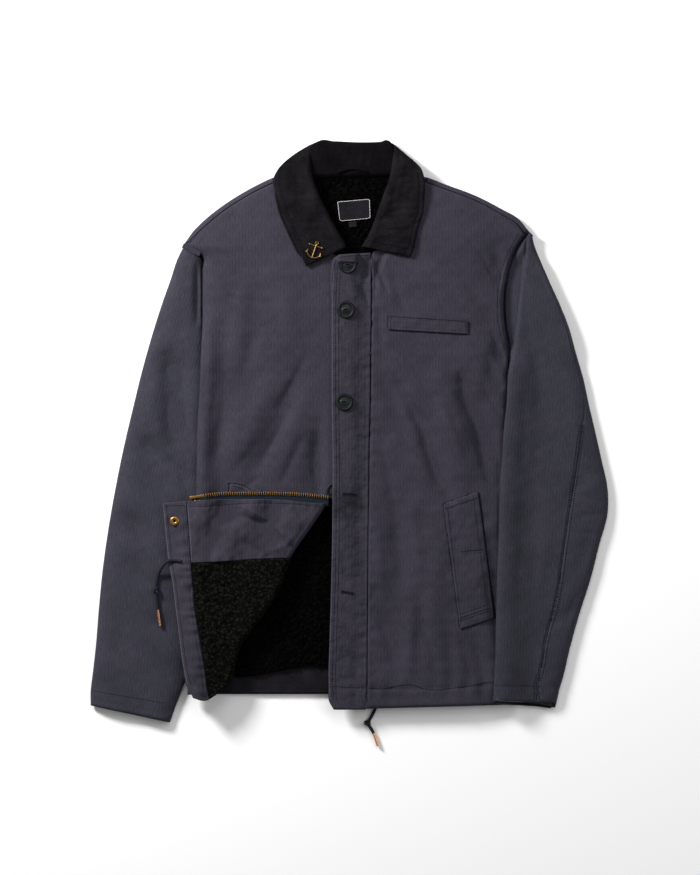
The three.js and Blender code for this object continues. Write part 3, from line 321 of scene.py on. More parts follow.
def ribbedCotton(name, *tones):
    # jungle cloth: tightly ribbed cotton, piece dyed and washed; matt, faintly streaked down the ribs.
    # It reads the piece's own map, U across the grain and V along it, in metres.
    made = newMaterial(name, 0.9, shine=0.12)
    tree = made[1]
    place = addNode(tree, "ShaderNodeUVMap", {"uv_map": "cloth"}).outputs["UV"]
    # ribs are about 1 mm apart on the cloth, drawn 2.2 mm apart so that they show
    ribs = addNode(tree, "ShaderNodeTexWave", {"Scale": 1000 / 2.2 / 6.2832,
                   "Distortion": 1.2, "Detail": 2.0, "Detail Scale": 1.6,
                   "wave_type": "BANDS", "bands_direction": "X"}, {"Vector": place})
    stretch = addNode(tree, "ShaderNodeMapping", {"Scale": (1000 / 1.4, 1000 / 10, 1)}, {"Vector": place})
    streaks = noiseOn(tree, stretch.outputs["Vector"], 1000, 3.0, 0.6)
    mixed = blendNoise(tree, 0.55, streaks, noiseOn(tree, place, 1.2, 2.0))
    shade = blendNoise(tree, 0.16, mixed, noiseOn(tree, place, 70, 3.0))
    height = addNode(tree, "ShaderNodeMath", {"operation": "MULTIPLY_ADD", 1: 0.5},
                     {0: ribs.outputs["Fac"], 2: mixed})
    return dress(made, shade, tones, (height.outputs[0], 0.35, 0.6), (0.33, 0.67))


def feltWool(name, *tones):
    # fulled wool felt: no grain, soft fuzz that catches a little light at the edges
    made = newMaterial(name, 0.95, shine=0.03)
    tree, place = made[1], ownPlace(made[1])
    fuzz = noiseOn(tree, place, 1.8, 4.0, 0.7)
    return dress(made, blendNoise(tree, 0.35, fuzz, noiseOn(tree, place, 22, 2.0)), tones, (fuzz, 0.5, 0.8))


def curlyPile(name, *tones):
    # polyester sherpa: tight black curls; painted highlight on the crowns of the curls and painted shade in
    # the gaps between them
    made = newMaterial(name, 0.85, shine=0.02)
    tree, place = made[1], ownPlace(made[1])
    wander = addNode(tree, "ShaderNodeTexNoise", {"Scale": 1000 / 5, "Detail": 2.0}, {"Vector": place})
    pushed = addNode(tree, "ShaderNodeVectorMath", {"operation": "MULTIPLY_ADD", 1: (0.004, 0.004, 0.0)},
                     {0: wander.outputs["Color"], 2: place})
    curls = addNode(tree, "ShaderNodeTexVoronoi", {"Scale": 1000 / 4.2, "feature": "F1"},
                    {"Vector": pushed.outputs[0]})
    # painted shade and highlight: darker away from each curl's middle, lighter on its crown
    shade = addNode(tree, "ShaderNodeMath", {"operation": "MULTIPLY_ADD", "use_clamp": True, 1: -0.85},
                    {0: curls.outputs["Distance"], 2: noiseOn(tree, place, 1.6, 4.0, 0.75)}).outputs[0]
    return dress(made, shade, tones, (shade, 1.0, 2.8), (0.0, 0.36))


def castMetal(name, dark, light, rough):
    # brass with a worn antique finish: dark and rubbed bright spots mixed at random
    made = newMaterial(name, rough, metal=1.0)
    wear = noiseOn(made[1], ownPlace(made[1]), 1.5, 3.0)
    return dress(made, wear, (dark, light), (wear, 0.15, 0.2))


def plainYarn(name, dark, light, spacing):
    # spun or braided yarn: small twisted strands, matt
    made = newMaterial(name, 0.8, shine=0.06)
    strand = noiseOn(made[1], ownPlace(made[1]), spacing, 2.0)
    return dress(made, strand, (dark, light), (strand, 0.4, 0.3))


shellCotton = ribbedCotton("ribbedCottonShell", "#222028", "#3d3a45")
sleeveCotton = ribbedCotton("ribbedCottonSleeve", "#222229", "#3d3c46")
facingCotton = ribbedCotton("ribbedCottonFacing", "#211f27", "#3d3a44")
placketCotton = ribbedCotton("ribbedCottonPlacket", "#211f26", "#3c3943")
collarFelt = feltWool("blackWoolFelt", "#080708", "#1e1c1f")
# the same felt darker: painted shade inside the collar's back, on the hang loop and on the neck seam
# allowance
shadedFelt = feltWool("blackWoolFeltPaintedShade", "#060506", "#121012")
blackPile = curlyPile("blackSherpaPile", "#070706", "#201f1c")
# the same pile darker: painted shade for the back lining, which lies in the hollow window and the neck
shadedPile = curlyPile("blackSherpaPilePaintedShade", "#010101", "#0b0b0a")
blackLining = feltWool("blackBrushedCotton", "#121013", "#242226")
antiqueBrass = castMetal("antiqueBrass", "#8c6a38", "#b98c50", 0.36)
darkBrass = castMetal("darkenedBrass", "#6d5835", "#96784a", 0.42)
copperTip = castMetal("copperAglet", "#b07c55", "#eab68c", 0.34)
navyThread = plainYarn("navyThread", "#14161f", "#222530", 0.7)
darkCord = plainYarn("braidedCord", "#101115", "#2b2c33", 1.1)
navyTape = plainYarn("navyZipTape", "#11161c", "#1e2833", 0.8)
# dark strands laid in seams, slits and grooves as painted shade
seamShadeYarn = plainYarn("paintedSeamShade", "#0b0a0e", "#151419", 0.7)
# black thread for the collar's stitches; the same yarn is the painted shade in the eyelet's hole
blackThreadAndHoleShade = plainYarn("blackThreadAndHoleShade", "#040405", "#0b0b0d", 0.7)
# pale yarn laid along rolled edges as a painted highlight
paintedEdgeHighlight = plainYarn("paintedEdgeHighlight", "#484751", "#5a5964", 1.5)
borderThread = plainYarn("whiteBorderThread", "#b9b9b7", "#dcdcda", 0.6)


# urea button with a horn look: dark green-grey, smooth, half gloss with soft highlights on the rim
horn = newMaterial("hornButton", 0.45, shine=0.2)
darkHorn = dress(horn, noiseOn(horn[1], ownPlace(horn[1]), 6, 3.0), ("#101213", "#1d2020"))
print("stage: cloths mixed")


# Body outline and heights, as on the frame

body = {"sideSeamZ": 5.6, "edgeInset": 4.5, "edgeRound": 16, "frontFloor": 8.8, "frontFloorRise": 1.6,
        "frontTop": 13.8, "frontTopRise": 4.0, "tuckLift": 10, "shellWall": 2.6, "seamGap": 0.4,
        "pileEdge": 1, "pileThick": 3.2, "pileLoft": 1.1, "length": 712}

leftEdge = through([
    [-356, -218], [-309, -217], [-255, -215], [-201, -213], [-147, -210], [-89, -207], [-36, -206],
    [8, -205], [55, -202], [109, -200], [157, -198], [190, -198], [217, -198], [236, -199], [250, -222]])
rightEdge = through([
    [-375, 207], [-347, 209], [-201, 210], [-97, 210], [-39, 211], [8, 213], [49, 214], [82, 215],
    [116, 213], [147, 209], [177, 208], [204, 211], [228, 217], [247, 225], [263, 236], [269, 241]])
shoulderRight = [[-223, 252], [-211, 269], [-195, 285], [-175, 301], [-151, 317], [-122, 333], [-99, 343]]
shoulderLeft = [[242, 269], [229, 285], [202, 301], [171, 317], [128, 333], [101, 343]]
seamRight = [[-218, 253], [-206, 264.5], [-190, 279], [-171, 294.5], [-147, 310.5], [-119, 326], [-97, 336]]
seamLeft = [[236, 264], [224, 279], [198, 295], [167, 311], [124, 327], [99, 336]]


def bodyDepth(x, y):
    return np.minimum(np.minimum(x - leftEdge(y), rightEdge(y) - x),
                      np.minimum(lineSpot(x, y, shoulderRight)[0], lineSpot(x, y, shoulderLeft)[0]))


def rest(x, y):
    return body["tuckLift"] * ease((36 - x + leftEdge(y)) / 30) * ease((178 - y) / 84)


# Main folds: start, end, half width, rise
bodyFolds = [
    [-67, 69, -107, -12, 13, -2.6], [-107, -12, -136, -70, 14, -2.4], [-92, 88, -150, -30, 16, 1.6],
    [-46, 10, -34, -84, 10, -2.2], [-150, 215, -172, 120, 13, -1.4], [-100, 215, -70, 120, 15, 1.2],
    [-170, 20, -186, -60, 10, -1.6], [34, 82, 95, 15, 11, -2.4], [95, 15, 129, -80, 12, -2.2],
    [64, 86, 128, 6, 14, 1.4], [152, 62, 173, 15, 9, -2.8], [173, 15, 190, -62, 9, -2.4],
    [140, 50, 158, -30, 10, 1.4],
    [120, 235, 176, 190, 12, -1.3], [60, -180, 70, -300, 14, -1.2], [110, -190, 102, -310, 15, 1.2]]
sleeveFolds = [
    [-249, 96, -238, -60, 12, -2.2], [-283, -12, -222, -62, 9, -1.6], [-300, -110, -262, -170, 10, -1.3],
    [-312, -250, -250, -262, 12, -1.1], [318, -60, 290, -100, 9, -1.3], [328, -130, 306, -190, 10, -1.2],
    [250, 120, 262, 20, 12, -1.4],
    [300, -236, 272, -262, 9, -1.3]]


def folds(table, x, y):
    z = np.zeros(np.broadcast(x, y).shape)
    for ax, ay, bx, by, half, rise in table:
        t = clamp(((x - ax) * (bx - ax) + (y - ay) * (by - ay)) / ((bx - ax) ** 2 + (by - ay) ** 2))
        d = np.hypot(x - mix(ax, bx, t), y - mix(ay, by, t)) / half
        z = z + rise * np.exp(-d * d) * (0.45 + 0.55 * np.sin(np.pi * t))
    return z


def roundAt(x, y):
    return np.where(rightEdge(y) - x < 60, mix(body["edgeRound"], 6, ease((y - 95) / 30)), body["edgeRound"])


def frontOuter(x, y):
    d = bodyDepth(x, y)
    c = ease(d / 60)
    fold = folds(bodyFolds, x, y) * ease(d / 18)
    return (rest(x, y) + body["sideSeamZ"] + (body["frontTop"] - body["sideSeamZ"] + body["frontTopRise"] * c)
            * bend(d / roundAt(x, y)) + fold)


def frontInner(x, y):
    d = bodyDepth(x, y)
    c = ease(d / 60)
    fold = np.clip(folds(bodyFolds, x, y), -0.8, 1.2) * ease(d / 30)
    return (rest(x, y) + body["sideSeamZ"] + (body["frontFloor"] - body["sideSeamZ"]
            + body["frontFloorRise"] * c) * bend((d - body["edgeInset"]) / 12) + fold)


def liningTop(x, y):
    d = bodyDepth(x, y)
    return (rest(x, y) + body["shellWall"] + body["seamGap"] + body["pileEdge"]
            + (body["pileThick"] + body["pileLoft"] * ease(d / 60)) * bend((d - 7) / 12))


def pileFloor(x, y):
    return (rest(x, y) + body["shellWall"] + body["seamGap"] + 0.1
            + 2.4 * (1 - bend((bodyDepth(x, y) - 3) / 9)) + 1.7 * ease((y - 318) / 14))


# Finer creases of the fronts: start, end, half width, rise
frontCreases = {
    "gain": 1.7, "calm": 0.5, "fine": 0.25,
    "broad": [[-24, 0, -38, -96, 22, -7.5], [-74, 30, -92, -76, 22, 3.6],
        [-110, 40, -160, -40, 26, 3.0], [-170, 190, -150, 60, 20, 1.6], [-196, 120, -197, 20, 9, -2.0],
        [-128, 190, -136, 70, 12, -2.2], [-76, 200, -92, 110, 16, 1.4], [176, 30, 196, -70, 12, -5.0],
        [150, 60, 168, 20, 12, -3.0], [96, 10, 126, -84, 14, -3.0], [120, 70, 150, -50, 14, 2.6],
        [72, 30, 112, -60, 13, 1.8], [60, -100, 100, -190, 12, 1.8], [198, 244, 204, 190, 9, -2.4],
        [196, 110, 206, 90, 7, -3.0], [184, 84, 202, 62, 7, -2.6], [48, 60, 84, -20, 12, -2.0],
        [60, -90, 84, -190, 16, -2.2], [120, -120, 116, -230, 18, 1.6], [60, -100, 70, -200, 10, -1.6],
        [100, -200, 92, -320, 11, -1.8], [132, -262, 140, -335, 9, -2.0], [36, -120, 44, -220, 8, 1.2],
        [84, -240, 80, -330, 9, 1.4], [170, -280, 180, -335, 7, -1.8],
        [40, -220, 70, -320, 14, -2.4], [150, -280, 176, -330, 14, -2.2], [190, -150, 204, -280, 10, -2.6]],
    "drag": [[-172, 205, -152, 188, 4, -0.8], [-168, 182, -140, 176, 5, -0.6], [-118, 150, -150, 60, 8, -0.7],
        [-60, 96, -96, 30, 5, -0.9], [-84, 20, -122, -50, 5, -1.0], [-128, -20, -160, -62, 6, -0.8],
        [-64, -10, -90, -66, 6, -1.2], [-48, -40, -40, -84, 5, -1.4], [-148, 20, -158, -30, 7, 0.7],
        [-180, 60, -186, 10, 5, -0.6], [-120, -60, -150, -84, 4, -0.7], [62, 74, 104, -8, 5, -0.9],
        [104, -10, 122, -70, 5, -1.0], [148, 76, 166, 30, 4, -1.2], [168, 28, 186, -30, 4, -1.3],
        [186, -30, 198, -72, 5, -1.4], [120, 40, 150, -30, 6, 0.7], [186, 100, 203, 60, 5, -1.0],
        [180, 60, 204, 20, 6, -1.0], [192, 130, 206, 100, 4, -0.9], [150, 205, 190, 168, 5, -0.7],
        [176, 236, 200, 205, 5, -0.8], [58, 206, 74, 160, 6, -0.6], [44, -20, 62, -110, 7, -0.6],
        [84, -100, 96, -200, 8, 0.6], [140, -130, 128, -60, 6, -0.6], [40, -250, 66, -330, 6, -0.6],
        [96, -240, 118, -330, 6, -0.6], [150, -290, 168, -335, 6, -0.7], [184, -200, 200, -290, 6, -0.7],
        [38, 180, 44, 96, 5, -0.5], [34, 232, 50, 190, 4, -1.6], [30, 240, 44, 236, 4, -1.2],
        [36, 222, 33, 170, 3.5, -1.0], [46, 242, 38, 214, 3.5, -1.6], [-22, 60, -34, 10, 5, -0.8],
        [-150, -50, -128, -84, 4, 0.9],
        [-196, 230, -196, 110, 3, 0.9]]}


def puckers(x, y, line, reach, pitch, depth, seed):
    # short uneven gathers that stand square to a sewn line and fade away from it
    d, run, _ = lineSpot(x, y, line)
    rng = np.random.default_rng(seed)
    shiver = np.zeros(np.shape(run))
    for k in range(5):
        shiver += np.sin(2 * np.pi * run / (pitch * rng.uniform(0.7, 1.6)) + rng.uniform(0, 6.28))
    return depth * shiver / 2.2 * np.exp(-(d / reach) ** 1.4) - depth * 0.9 * hill(d / 2.2)


placketSeamPoints = [[30, 240], [29.5, 163], [28.5, 96], [28, 42], [26.5, -26], [26, -89], [25, -147],
        [24.5, -217], [24, -285], [23.5, -344], [22.5, -376]]
hemLineLeft = [[23, -347], [90, -347], [150, -345], [208, -341]]
armholeLeft = [[233, 263], [218, 229], [210.5, 204], [207, 171], [209.5, 140], [216, 111]]
chestWelt = [[52, 154], [160, 147], [160, 130], [52, 136]]
sideWelt = [[126, -98], [173, -81], [195, -252], [149, -267]]


def inset(corners, by):
    cx, cy = np.mean([c[0] for c in corners]), np.mean([c[1] for c in corners])
    out = []
    for x, y in corners:
        r = math.hypot(x - cx, y - cy)
        out.append([x + (cx - x) * by / r, y + (cy - y) * by / r])
    return out


def closed(corners):
    return corners + [corners[0]]


# line, reach, pitch, depth, seed
leftGathers = [(placketSeamPoints, 9, 19, 0.6, 3), (hemLineLeft, 12, 17, 1.2, 4),
               (armholeLeft, 8, 16, 0.6, 5), (closed(chestWelt), 5, 18, 0.22, 6),
               (closed(sideWelt), 6, 19, 0.28, 7)]


def frontTop(x, y):
    # outer face of both fronts with every crease, held down where the placket lies
    d = bodyDepth(x, y)
    z = frontOuter(x, y)
    bare = np.where(x < 0, ease((-30 - x) / 14), ease((x - 26) / 4))
    extra = frontCreases["gain"] * folds(frontCreases["drag"], x, y) + 0.5 * folds(bodyFolds, x, y)
    extra = (extra + folds(frontCreases["broad"], x, y)) * np.where(x > 20, 1.7, 1.0)
    extra = extra + frontCreases["calm"] * swell(x, y, 46, 11) + frontCreases["fine"] * swell(x, y, 19, 12)
    left = np.where(x > 20, 1.0, 0.0)
    for gather in leftGathers:
        extra = extra + left * puckers(x, y, *gather)
    z = z + extra * bare * ease(d / 9)
    # no fold goes down into the pile
    over = z - liningTop(x, y) - 3.4
    return z + ((over + np.sqrt(over * over + 2)) / 2 - over) * ease((d - 3) / 6)


# Back, with its turn over each shoulder

backRows = columns([
    [-218, -355, 209, -355], [-215, -255, 209.6, -255], [-210, -147, 210, -148], [-206, -36, 211, -39],
    [-202, 55, 214, 49], [-199, 130, 211, 130], [-198, 200, 210.5, 202], [-199.5, 235, 224.5, 245],
    [-221.5, 251, 240, 267.5]])
backTop = along(shoulderRight + [[-67, 343], [0, 343], [68, 344.5]] + shoulderLeft[::-1])


def backPlan(u, v):
    xl, yl, xr, yr = backRows(v)
    xl, xr = np.where(yl < 232, leftEdge(yl), xl), np.where(yr < 262, rightEdge(yr), xr)
    tl, ml, tr, mr = (float(t) for t in backRows(1.0))
    tr = float(tr) if mr >= 262 else float(rightEdge(mr))
    tx, ty = backTop(u)
    k = ease((v - 0.78) / 0.22)
    return mix(xl, xr, u) + (tx - mix(tl, tr, u)) * k, mix(yl, yr, u) + (ty - mix(ml, mr, u)) * k


sideSteps = [0, 1.4, 4.5, 10, 17, 26, 36]
rowHeights = [-351, -255, -147, -45, 55, 90, 112, 134, 156, 178, 202, 222]
backWidth = 427


def inFrom(s, total, by, reach):
    return np.where(s < total / 2, s + by * np.maximum(0, 1 - s / reach),
                    s - by * np.maximum(0, 1 - (total - s) / reach))


def backWall():
    steps = refine(sideSteps + [74, 130, 214, 298, 354] + [backWidth - s for s in sideSteps[::-1]], 6)
    up = [shareAt(backRows, 1, y) for y in rowHeights]
    v = refine([0] + up + [0.95, 0.975, 0.989, 0.996, 1], 0.01)[:, None]
    u = (steps / backWidth)[None, :]
    x, y = backPlan(u, v)
    a, b = backPlan(inFrom(u * backWidth, backWidth, 3, 27) / backWidth, v - 0.0045 * ease((v - 0.9) / 0.1))
    d, e = np.maximum(0, bodyDepth(x, y)), np.maximum(0, bodyDepth(a, b))
    hem = 0.7 * (1 - ease((y + 355) / 5)) * bend(d / 8)
    # the underside lies flat, with shallow sunk creases
    crease = 0.5 * np.maximum(0, swell(x, y, 60, 21)) * ease(d / 20)
    outer = grid(x, y, rest(x, y) + 5 * (1 - bend(d / 8)) + hem + crease)
    inner = grid(a, b, rest(a, b) + body["shellWall"] + 2.4 * (1 - bend((e - 3) / 9)) - hem)
    return outer, inner


shoulderTurn = [[3.4, 1.4, 4.6, 2.5], [0.8, 3.3, 3.6, 3.9], [0.1, 5.3, 3.2, 5.2], [0.8, 8.1, 3.6, 6.1],
        [2.8, 10.2, 4.4, 6.7], [5.4, 11.6, 5.5, 7.1]]


def shoulderWall(outline, seam):
    edge, line = along(outline), along(seam)
    at = np.linspace(0, 1, len(shoulderTurn))
    turn = [through(list(zip(at, [row[c] for row in shoulderTurn]))) for c in range(4)]
    t, k = np.linspace(0, 1, 61)[:, None], np.linspace(0, 1, 16)[None, :]
    (ex, ey), (sx, sy) = edge(mix(0.015, 0.97, t)), line(mix(0.015, 0.97, t))
    length = np.hypot(sx - ex, sy - ey)
    nx, ny, scale = (sx - ex) / length, (sy - ey) / length, (length - 1) / 5.4
    ro, zo, ri, zi = (f(k) for f in turn)
    wave = 0.25 * swell(ex + ro * 0, ey + ro * 0, 24, 31)
    outer = grid(ex + nx * ro * scale, ey + ny * ro * scale, zo + wave * bend(k / 0.4))
    inner = grid(ex + nx * ri * scale, ey + ny * ri * scale, zi + 0 * t)
    return outer, inner


backPiece = clothPiece("back", [backWall(), shoulderWall(shoulderRight, seamRight),
                                shoulderWall(shoulderLeft, seamLeft)], "shell_cloth", shellCotton)
print("stage: back cut")


# Pile lining of the back: fine where it is seen, in the neck and beside the turned corner
pileCut = {"tuft": 4.8, "tuftRise": 2.6, "seenStep": 1.6, "hiddenStep": 14}

pileRows = columns([
    [float(leftEdge(-308)) + 8, -308, 201, -308], [float(leftEdge(-174)) + 8, -174, 202, -174],
    [float(leftEdge(42)) + 8, 42, 203, 42], [float(leftEdge(150)) + 8, 150, 201, 150], [-190, 200, 201, 200],
    [-184, 228, 196, 230], [-164, 262, 182, 265], [-121, 300, 138, 300], [-88, 324, 100, 324],
    [-66, 339.5, 78, 340.5]])


def finer(stations, spans, fine, coarse):
    # stations kept, more put between them: close together inside the spans, wide apart elsewhere
    out = [stations[0]]
    for a, b in zip(stations[:-1], stations[1:]):
        t = a
        while t < b - 1e-9:
            near = any(lo <= t < hi for lo, hi in spans)
            step = fine if near else min([coarse] + [lo - t for lo, hi in spans if lo > t])
            t = min(b, t + max(step, 0.2))
            out.append(t)
    return np.array(out)


def backPileWall():
    c = pileCut
    across = finer([8.5, 12, 17, 26, 36, 74, 130, 214, 298, 354, 391, 407, 418.5], [(36, 268)],
                   c["seenStep"], c["hiddenStep"])
    high = finer([-308] + rowHeights[1:] + [262, 300, 324, 339.5], [(-308, -98), (226, 339)],
                 c["seenStep"], c["hiddenStep"])
    v = np.array([0.0] + [shareAt(pileRows, 1, y) for y in high[1:-1]] + [1.0])[:, None]
    xl, yl, xr, yr = pileRows(v)
    u = ((across - 8.5) / 410)[None, :]
    x, y = mix(xl, xr, u), mix(yl, yr, u)
    # beside the turned corner the pile hangs over the hem band, lower toward the side
    over = hill((y + 308) / 15) * ease((-22 - x) / 8)
    y = y - (8 + 15 * ease((-40 - x) / 110)) * over
    seen = np.maximum(ease((-95 - y) / 12) * ease((-18 - x) / 10),
                      ease((y - 222) / 14) * ease((62 - np.abs(x - 4)) / 10))
    edge = ease(np.minimum(u, 1 - u) * 410 / 12)
    tufts = nubs(x, y, c["tuft"], 41, 0.66) * c["tuftRise"] - c["tuftRise"] * 0.55
    tufts = tufts + 0.5 * (nubs(x + 2, y + 1, 2.6, 42) - 0.5) + 0.4 * swell(x, y, 30, 43)
    return (grid(x, y, liningTop(x, y) + tufts * seen * edge + 1.4 * over),
            grid(x, y, pileFloor(x, y) + 1.4 * over))


# the back lining wears the darker pile copy, painted shade for the hollows it lies in
backPile = clothPiece("lining_back", [backPileWall()], "pile", shadedPile)


hemBand = {"from": 14, "to": 413, "bottom": -354.2, "top": -308.8, "thick": 1.5, "stitchAt": -349}


def backHemWall():
    h = hemBand
    u = refine([h["from"], 17, 26, 36, 74, 130, 214, 298, 354, 391, 407, h["to"]], 3.5)
    v = refine([0, 0.1, 0.5, 0.9, 1], 0.045)[:, None]
    y = mix(h["bottom"], h["top"], v) + 0 * u[None, :]
    x = leftEdge(y) + u[None, :]
    side = bend(np.minimum(u - h["from"], h["to"] - u) / 12)[None, :]
    floor = pileFloor(x, y)
    crease = 0.35 * swell(x, y * 0.4, 22, 51) - 0.6 * hill((y - h["stitchAt"]) / 1.6)
    top = floor + 1 + (h["thick"] + crease) * bend(v / 0.12) * bend((1 - v) / 0.1 + 0.2) * side
    return grid(x, y, top), grid(x, y, floor)


backHem = clothPiece("hem_facing_back", [backHemWall()], "facing_cloth", blackLining)

# Fronts
placketSeam = through([
    [-376, 22.5], [-344, 23.5], [-285, 24], [-217, 24.5], [-147, 25], [-89, 26], [-26, 26.5], [42, 28],
    [96, 28.5], [163, 29.5], [240, 30]])
foldLine = through([
    [-356, -180], [-351, -173], [-339, -160], [-316, -153], [-292, -147], [-269, -132], [-238, -108],
    [-204, -90], [-169, -76], [-134, -52], [-112, -37], [-97, -27.5]])
foldReach = 9.7


def seamAt(y):
    return float(placketSeam(y))


def foldBack(y):
    return float(foldLine(y)) - foldReach - 2


frontLeftRows = columns([
    [99, 336, 236, 263.5], [90, 315, 224.4, 246], [80.5, 294, 216.6, 227], [68, 274, 210.6, 203],
    [52, 256, 207.6, 177], [30.2, 238, 208.6, 147], [seamAt(205), 205, 212.6, 116],
    [seamAt(150), 150, 214.6, 82], [seamAt(96), 96, 213.6, 49], [seamAt(42), 42, 212.6, 8],
    [seamAt(-26), -26, 210.6, -39], [seamAt(-93), -93, 209.6, -97],
    [seamAt(-147), -147, 209.6, -148], [seamAt(-201), -201, 209.6, -201],
    [seamAt(-255), -255, 209.4, -255], [seamAt(-302), -302, 209, -302],
    [seamAt(-347), -347, 208.6, -345], [seamAt(-369), -370, 207.5, -365],
    [seamAt(-374), -374, 207, -369]])
frontRightRows = columns([
    [-97, 336, -218, 253], [-82, 317, -222, 249.7], [-70, 296, -211, 243.5], [-58, 274, -200.5, 236.5],
    [-38, 250, -198, 217], [-7, 226, -198, 190], [-5, 184, -198, 157], [-5, 126, -200, 109],
    [-5, 66, -202, 55], [-5, 15, -205, 8], [-6, -32, -206, -36], [-7, -62, -207, -63],
    [-13, -79, -207, -81], [-40, -93.5, -207.7, -95.5], [foldBack(-112), -112, -208.5, -114],
    [foldBack(-134), -134, -209.5, -134],
    [foldBack(-169), -169, -211, -167], [foldBack(-204), -204, -213, -201],
    [foldBack(-238), -238, -214.3, -236], [foldBack(-269), -269, -215.6, -267],
    [foldBack(-292), -292, -216.5, -291], [foldBack(-316), -316, -217.3, -316],
    [foldBack(-339), -339, -217.8, -340], [foldBack(-351), -351, -218, -354]])
frontShares = [0.22, 0.44, 0.66, 0.86, 0.965, 1]


def frontWall(rows, seam, vs, side, step):
    top, first, reach = along(seam), [float(t) for t in rows(0.0)], 36
    v = refine(vs, step / body["length"])[:, None]
    xf, yf, xs, ys = rows(v)
    xs = np.where(ys < 232, side(ys), xs)
    width = np.hypot(xs - xf, ys - yf)
    k = np.minimum(1, width / 72)
    near = refine(sideSteps, step)[None, :] * k
    far = mix(reach * k, width, refine([0] + frontShares, step / 160)[None, 1:])
    s = np.concatenate([near, far], 1)

    def plan(u):
        tx, ty = top(1 - u)
        kk = 1 - ease(v / 0.16)
        return (mix(xf, xs, u) + (tx - mix(first[0], first[2], u)) * kk,
                mix(yf, ys, u) + (ty - mix(first[1], first[3], u)) * kk)
    x, y = plan(1 - s / width)
    a, b = plan(1 - (s + body["edgeInset"] * np.maximum(0, 1 - s / (reach * k))) / width)
    # deep folds press the cloth down as a whole, so the wall keeps its thickness
    outer = frontTop(x, y)
    inner = np.minimum(frontInner(a, b), frontTop(a, b) - 2.2)
    # folded hem and front edge: both faces roll to the middle of the wall
    hem = (1 - bend((1 - v) * body["length"] / 5)) * ease(s / 9)
    edge = 1 - bend((width - s) / 3.2)
    roll = np.maximum(hem * 0.42, edge * 0.3)
    thick = outer - inner
    return (grid(x, y, outer - thick * roll), grid(a, b, inner + thick * roll * 0.6))


rightVs = [0, 0.015, 0.03] + [shareAt(frontRightRows, 3, y) for y in (
    236, 222, 202, 178, 156, 134, 112, 90, 55, 5, -45, -81, -96, -120, -147, -174, -201, -228, -255, -282,
    -309, -332, -351)] + [1]
leftVs = [0] + [shareAt(frontLeftRows, 3, y) for y in (
    246, 227, 203, 178, 147, 116, 90, 55, 5, -45, -97, -147, -201, -255, -302, -345, -365)] + [1]
frontStep = 2.6
frontLeft = clothPiece("front_left", [frontWall(frontLeftRows, seamLeft, leftVs, rightEdge, frontStep)],
                       "shell_cloth", shellCotton)
frontRight = clothPiece("front_right", [frontWall(frontRightRows, seamRight, rightVs, leftEdge, frontStep)],
                        "shell_cloth", shellCotton)
print("stage: fronts cut")

# Fly placket
placket = {"wall": 4.0, "wide": 51, "long": 612, "heldButton": (-20, -81), "heldRise": 4.2, "lowest": 17.2,
           "clear": 0.9, "freeFloor": 15.5, "seamDrop": 4.4,
           "lip": {"x": -2.4, "y": 224.6, "top": 243, "half": 16, "rise": 5.2}}
placketRows = columns([
    [-14, 237, 28.6, 240], [-22, 231, 28.6, 231], [-24, 222, 28.8, 222], [-24, 163, 29, 163],
    [-24, 96, 28, 96], [-24, 42, 27.5, 42], [-23, -26, 26, -26], [-23, -89, 25.5, -89],
    [-23.5, -147, 24.6, -147], [-25, -217, 24, -217], [-27, -285, 23.5, -285], [-28, -344, 23, -344],
    [-26.5, -366, 22.3, -368], [-21, -375, 22, -375]])
placketPuckers = [[14, -88, 20, -190, 12, -1.6], [-12, -100, -8, -180, 9, 0.8], [14, -270, 8, -340, 12, -1.2],
        [31, 243, 19, 192, 4.5, -1.3], [20, 240, 12, 206, 4, 0.8], [16, 200, 24, 170, 6, -0.6],
        [-10, -96, 20, -112, 7, -1.0], [-20, -190, 18, -206, 8, -0.6], [-16, -240, 22, -262, 8, -0.9],
        [-12, -300, 18, -318, 8, -1.0], [-22, -60, 10, -72, 7, -0.5], [16, 232, 24, 214, 4, -1.2],
        [14, 236, 24, 205, 3, -0.8], [4, 212, 26, 176, 4, -0.9], [-2, 200, 8, 176, 4, 0.5],
        [20, 190, 27, 172, 3, -0.7], [-18, 150, -12, 96, 4, 0.4], [-16, 20, -10, -60, 4, -0.5],
        [14, -60, 20, -120, 4, -0.6], [-10, -110, 12, -126, 5, -0.6], [-20, -150, -8, -200, 4, 0.5],
        [8, -228, 24, -242, 4, -0.7], [-4, -280, 12, -290, 6, -0.6], [-16, -330, 4, -336, 5, -0.6]]


def placketFloor(x, y):
    bx, by = placket["heldButton"]
    bump = placket["heldRise"] * np.exp(-((x - bx) / 20) ** 2 - ((y - by) / 24) ** 2)
    under = frontOuter(np.minimum(x, -6), np.maximum(y, -100))
    over = np.maximum(under, placket["lowest"]) + placket["clear"] + bump
    joinZ = frontOuter(33 + 0 * x, y) - placket["seamDrop"]
    return mix(mix(over, placket["freeFloor"], ease((-95 - y) / 30)), joinZ, ease((x + 3) / 27))


def placketTop(x, y):
    z = placketFloor(x, y) + placket["wall"]
    extra = 1.9 * folds(placketPuckers, x, y) + 0.4 * swell(x, y, 19, 61) + 0.2 * swell(x, y, 9, 62)
    extra = extra + puckers(x, y, [[24, 236], [23.5, 100], [21, -100], [19, -350]], 6, 13, 0.45, 63)
    extra = extra + puckers(x, y, [[-19.5, 222], [-19.5, 0], [-19, -150], [-23, -344]], 4, 12, 0.3, 64)
    extra = extra - 0.5 * hill((y + 346) / 2.2)
    # the top button is half through its hole: the cloth above the hole lies over its upper half
    lip = placket["lip"]
    over = ease((y - lip["y"]) / 1.6) * ease((lip["top"] - y) / 7)
    return z + extra + lip["rise"] * over * ease((lip["half"] - np.abs(x - lip["x"])) / 5)


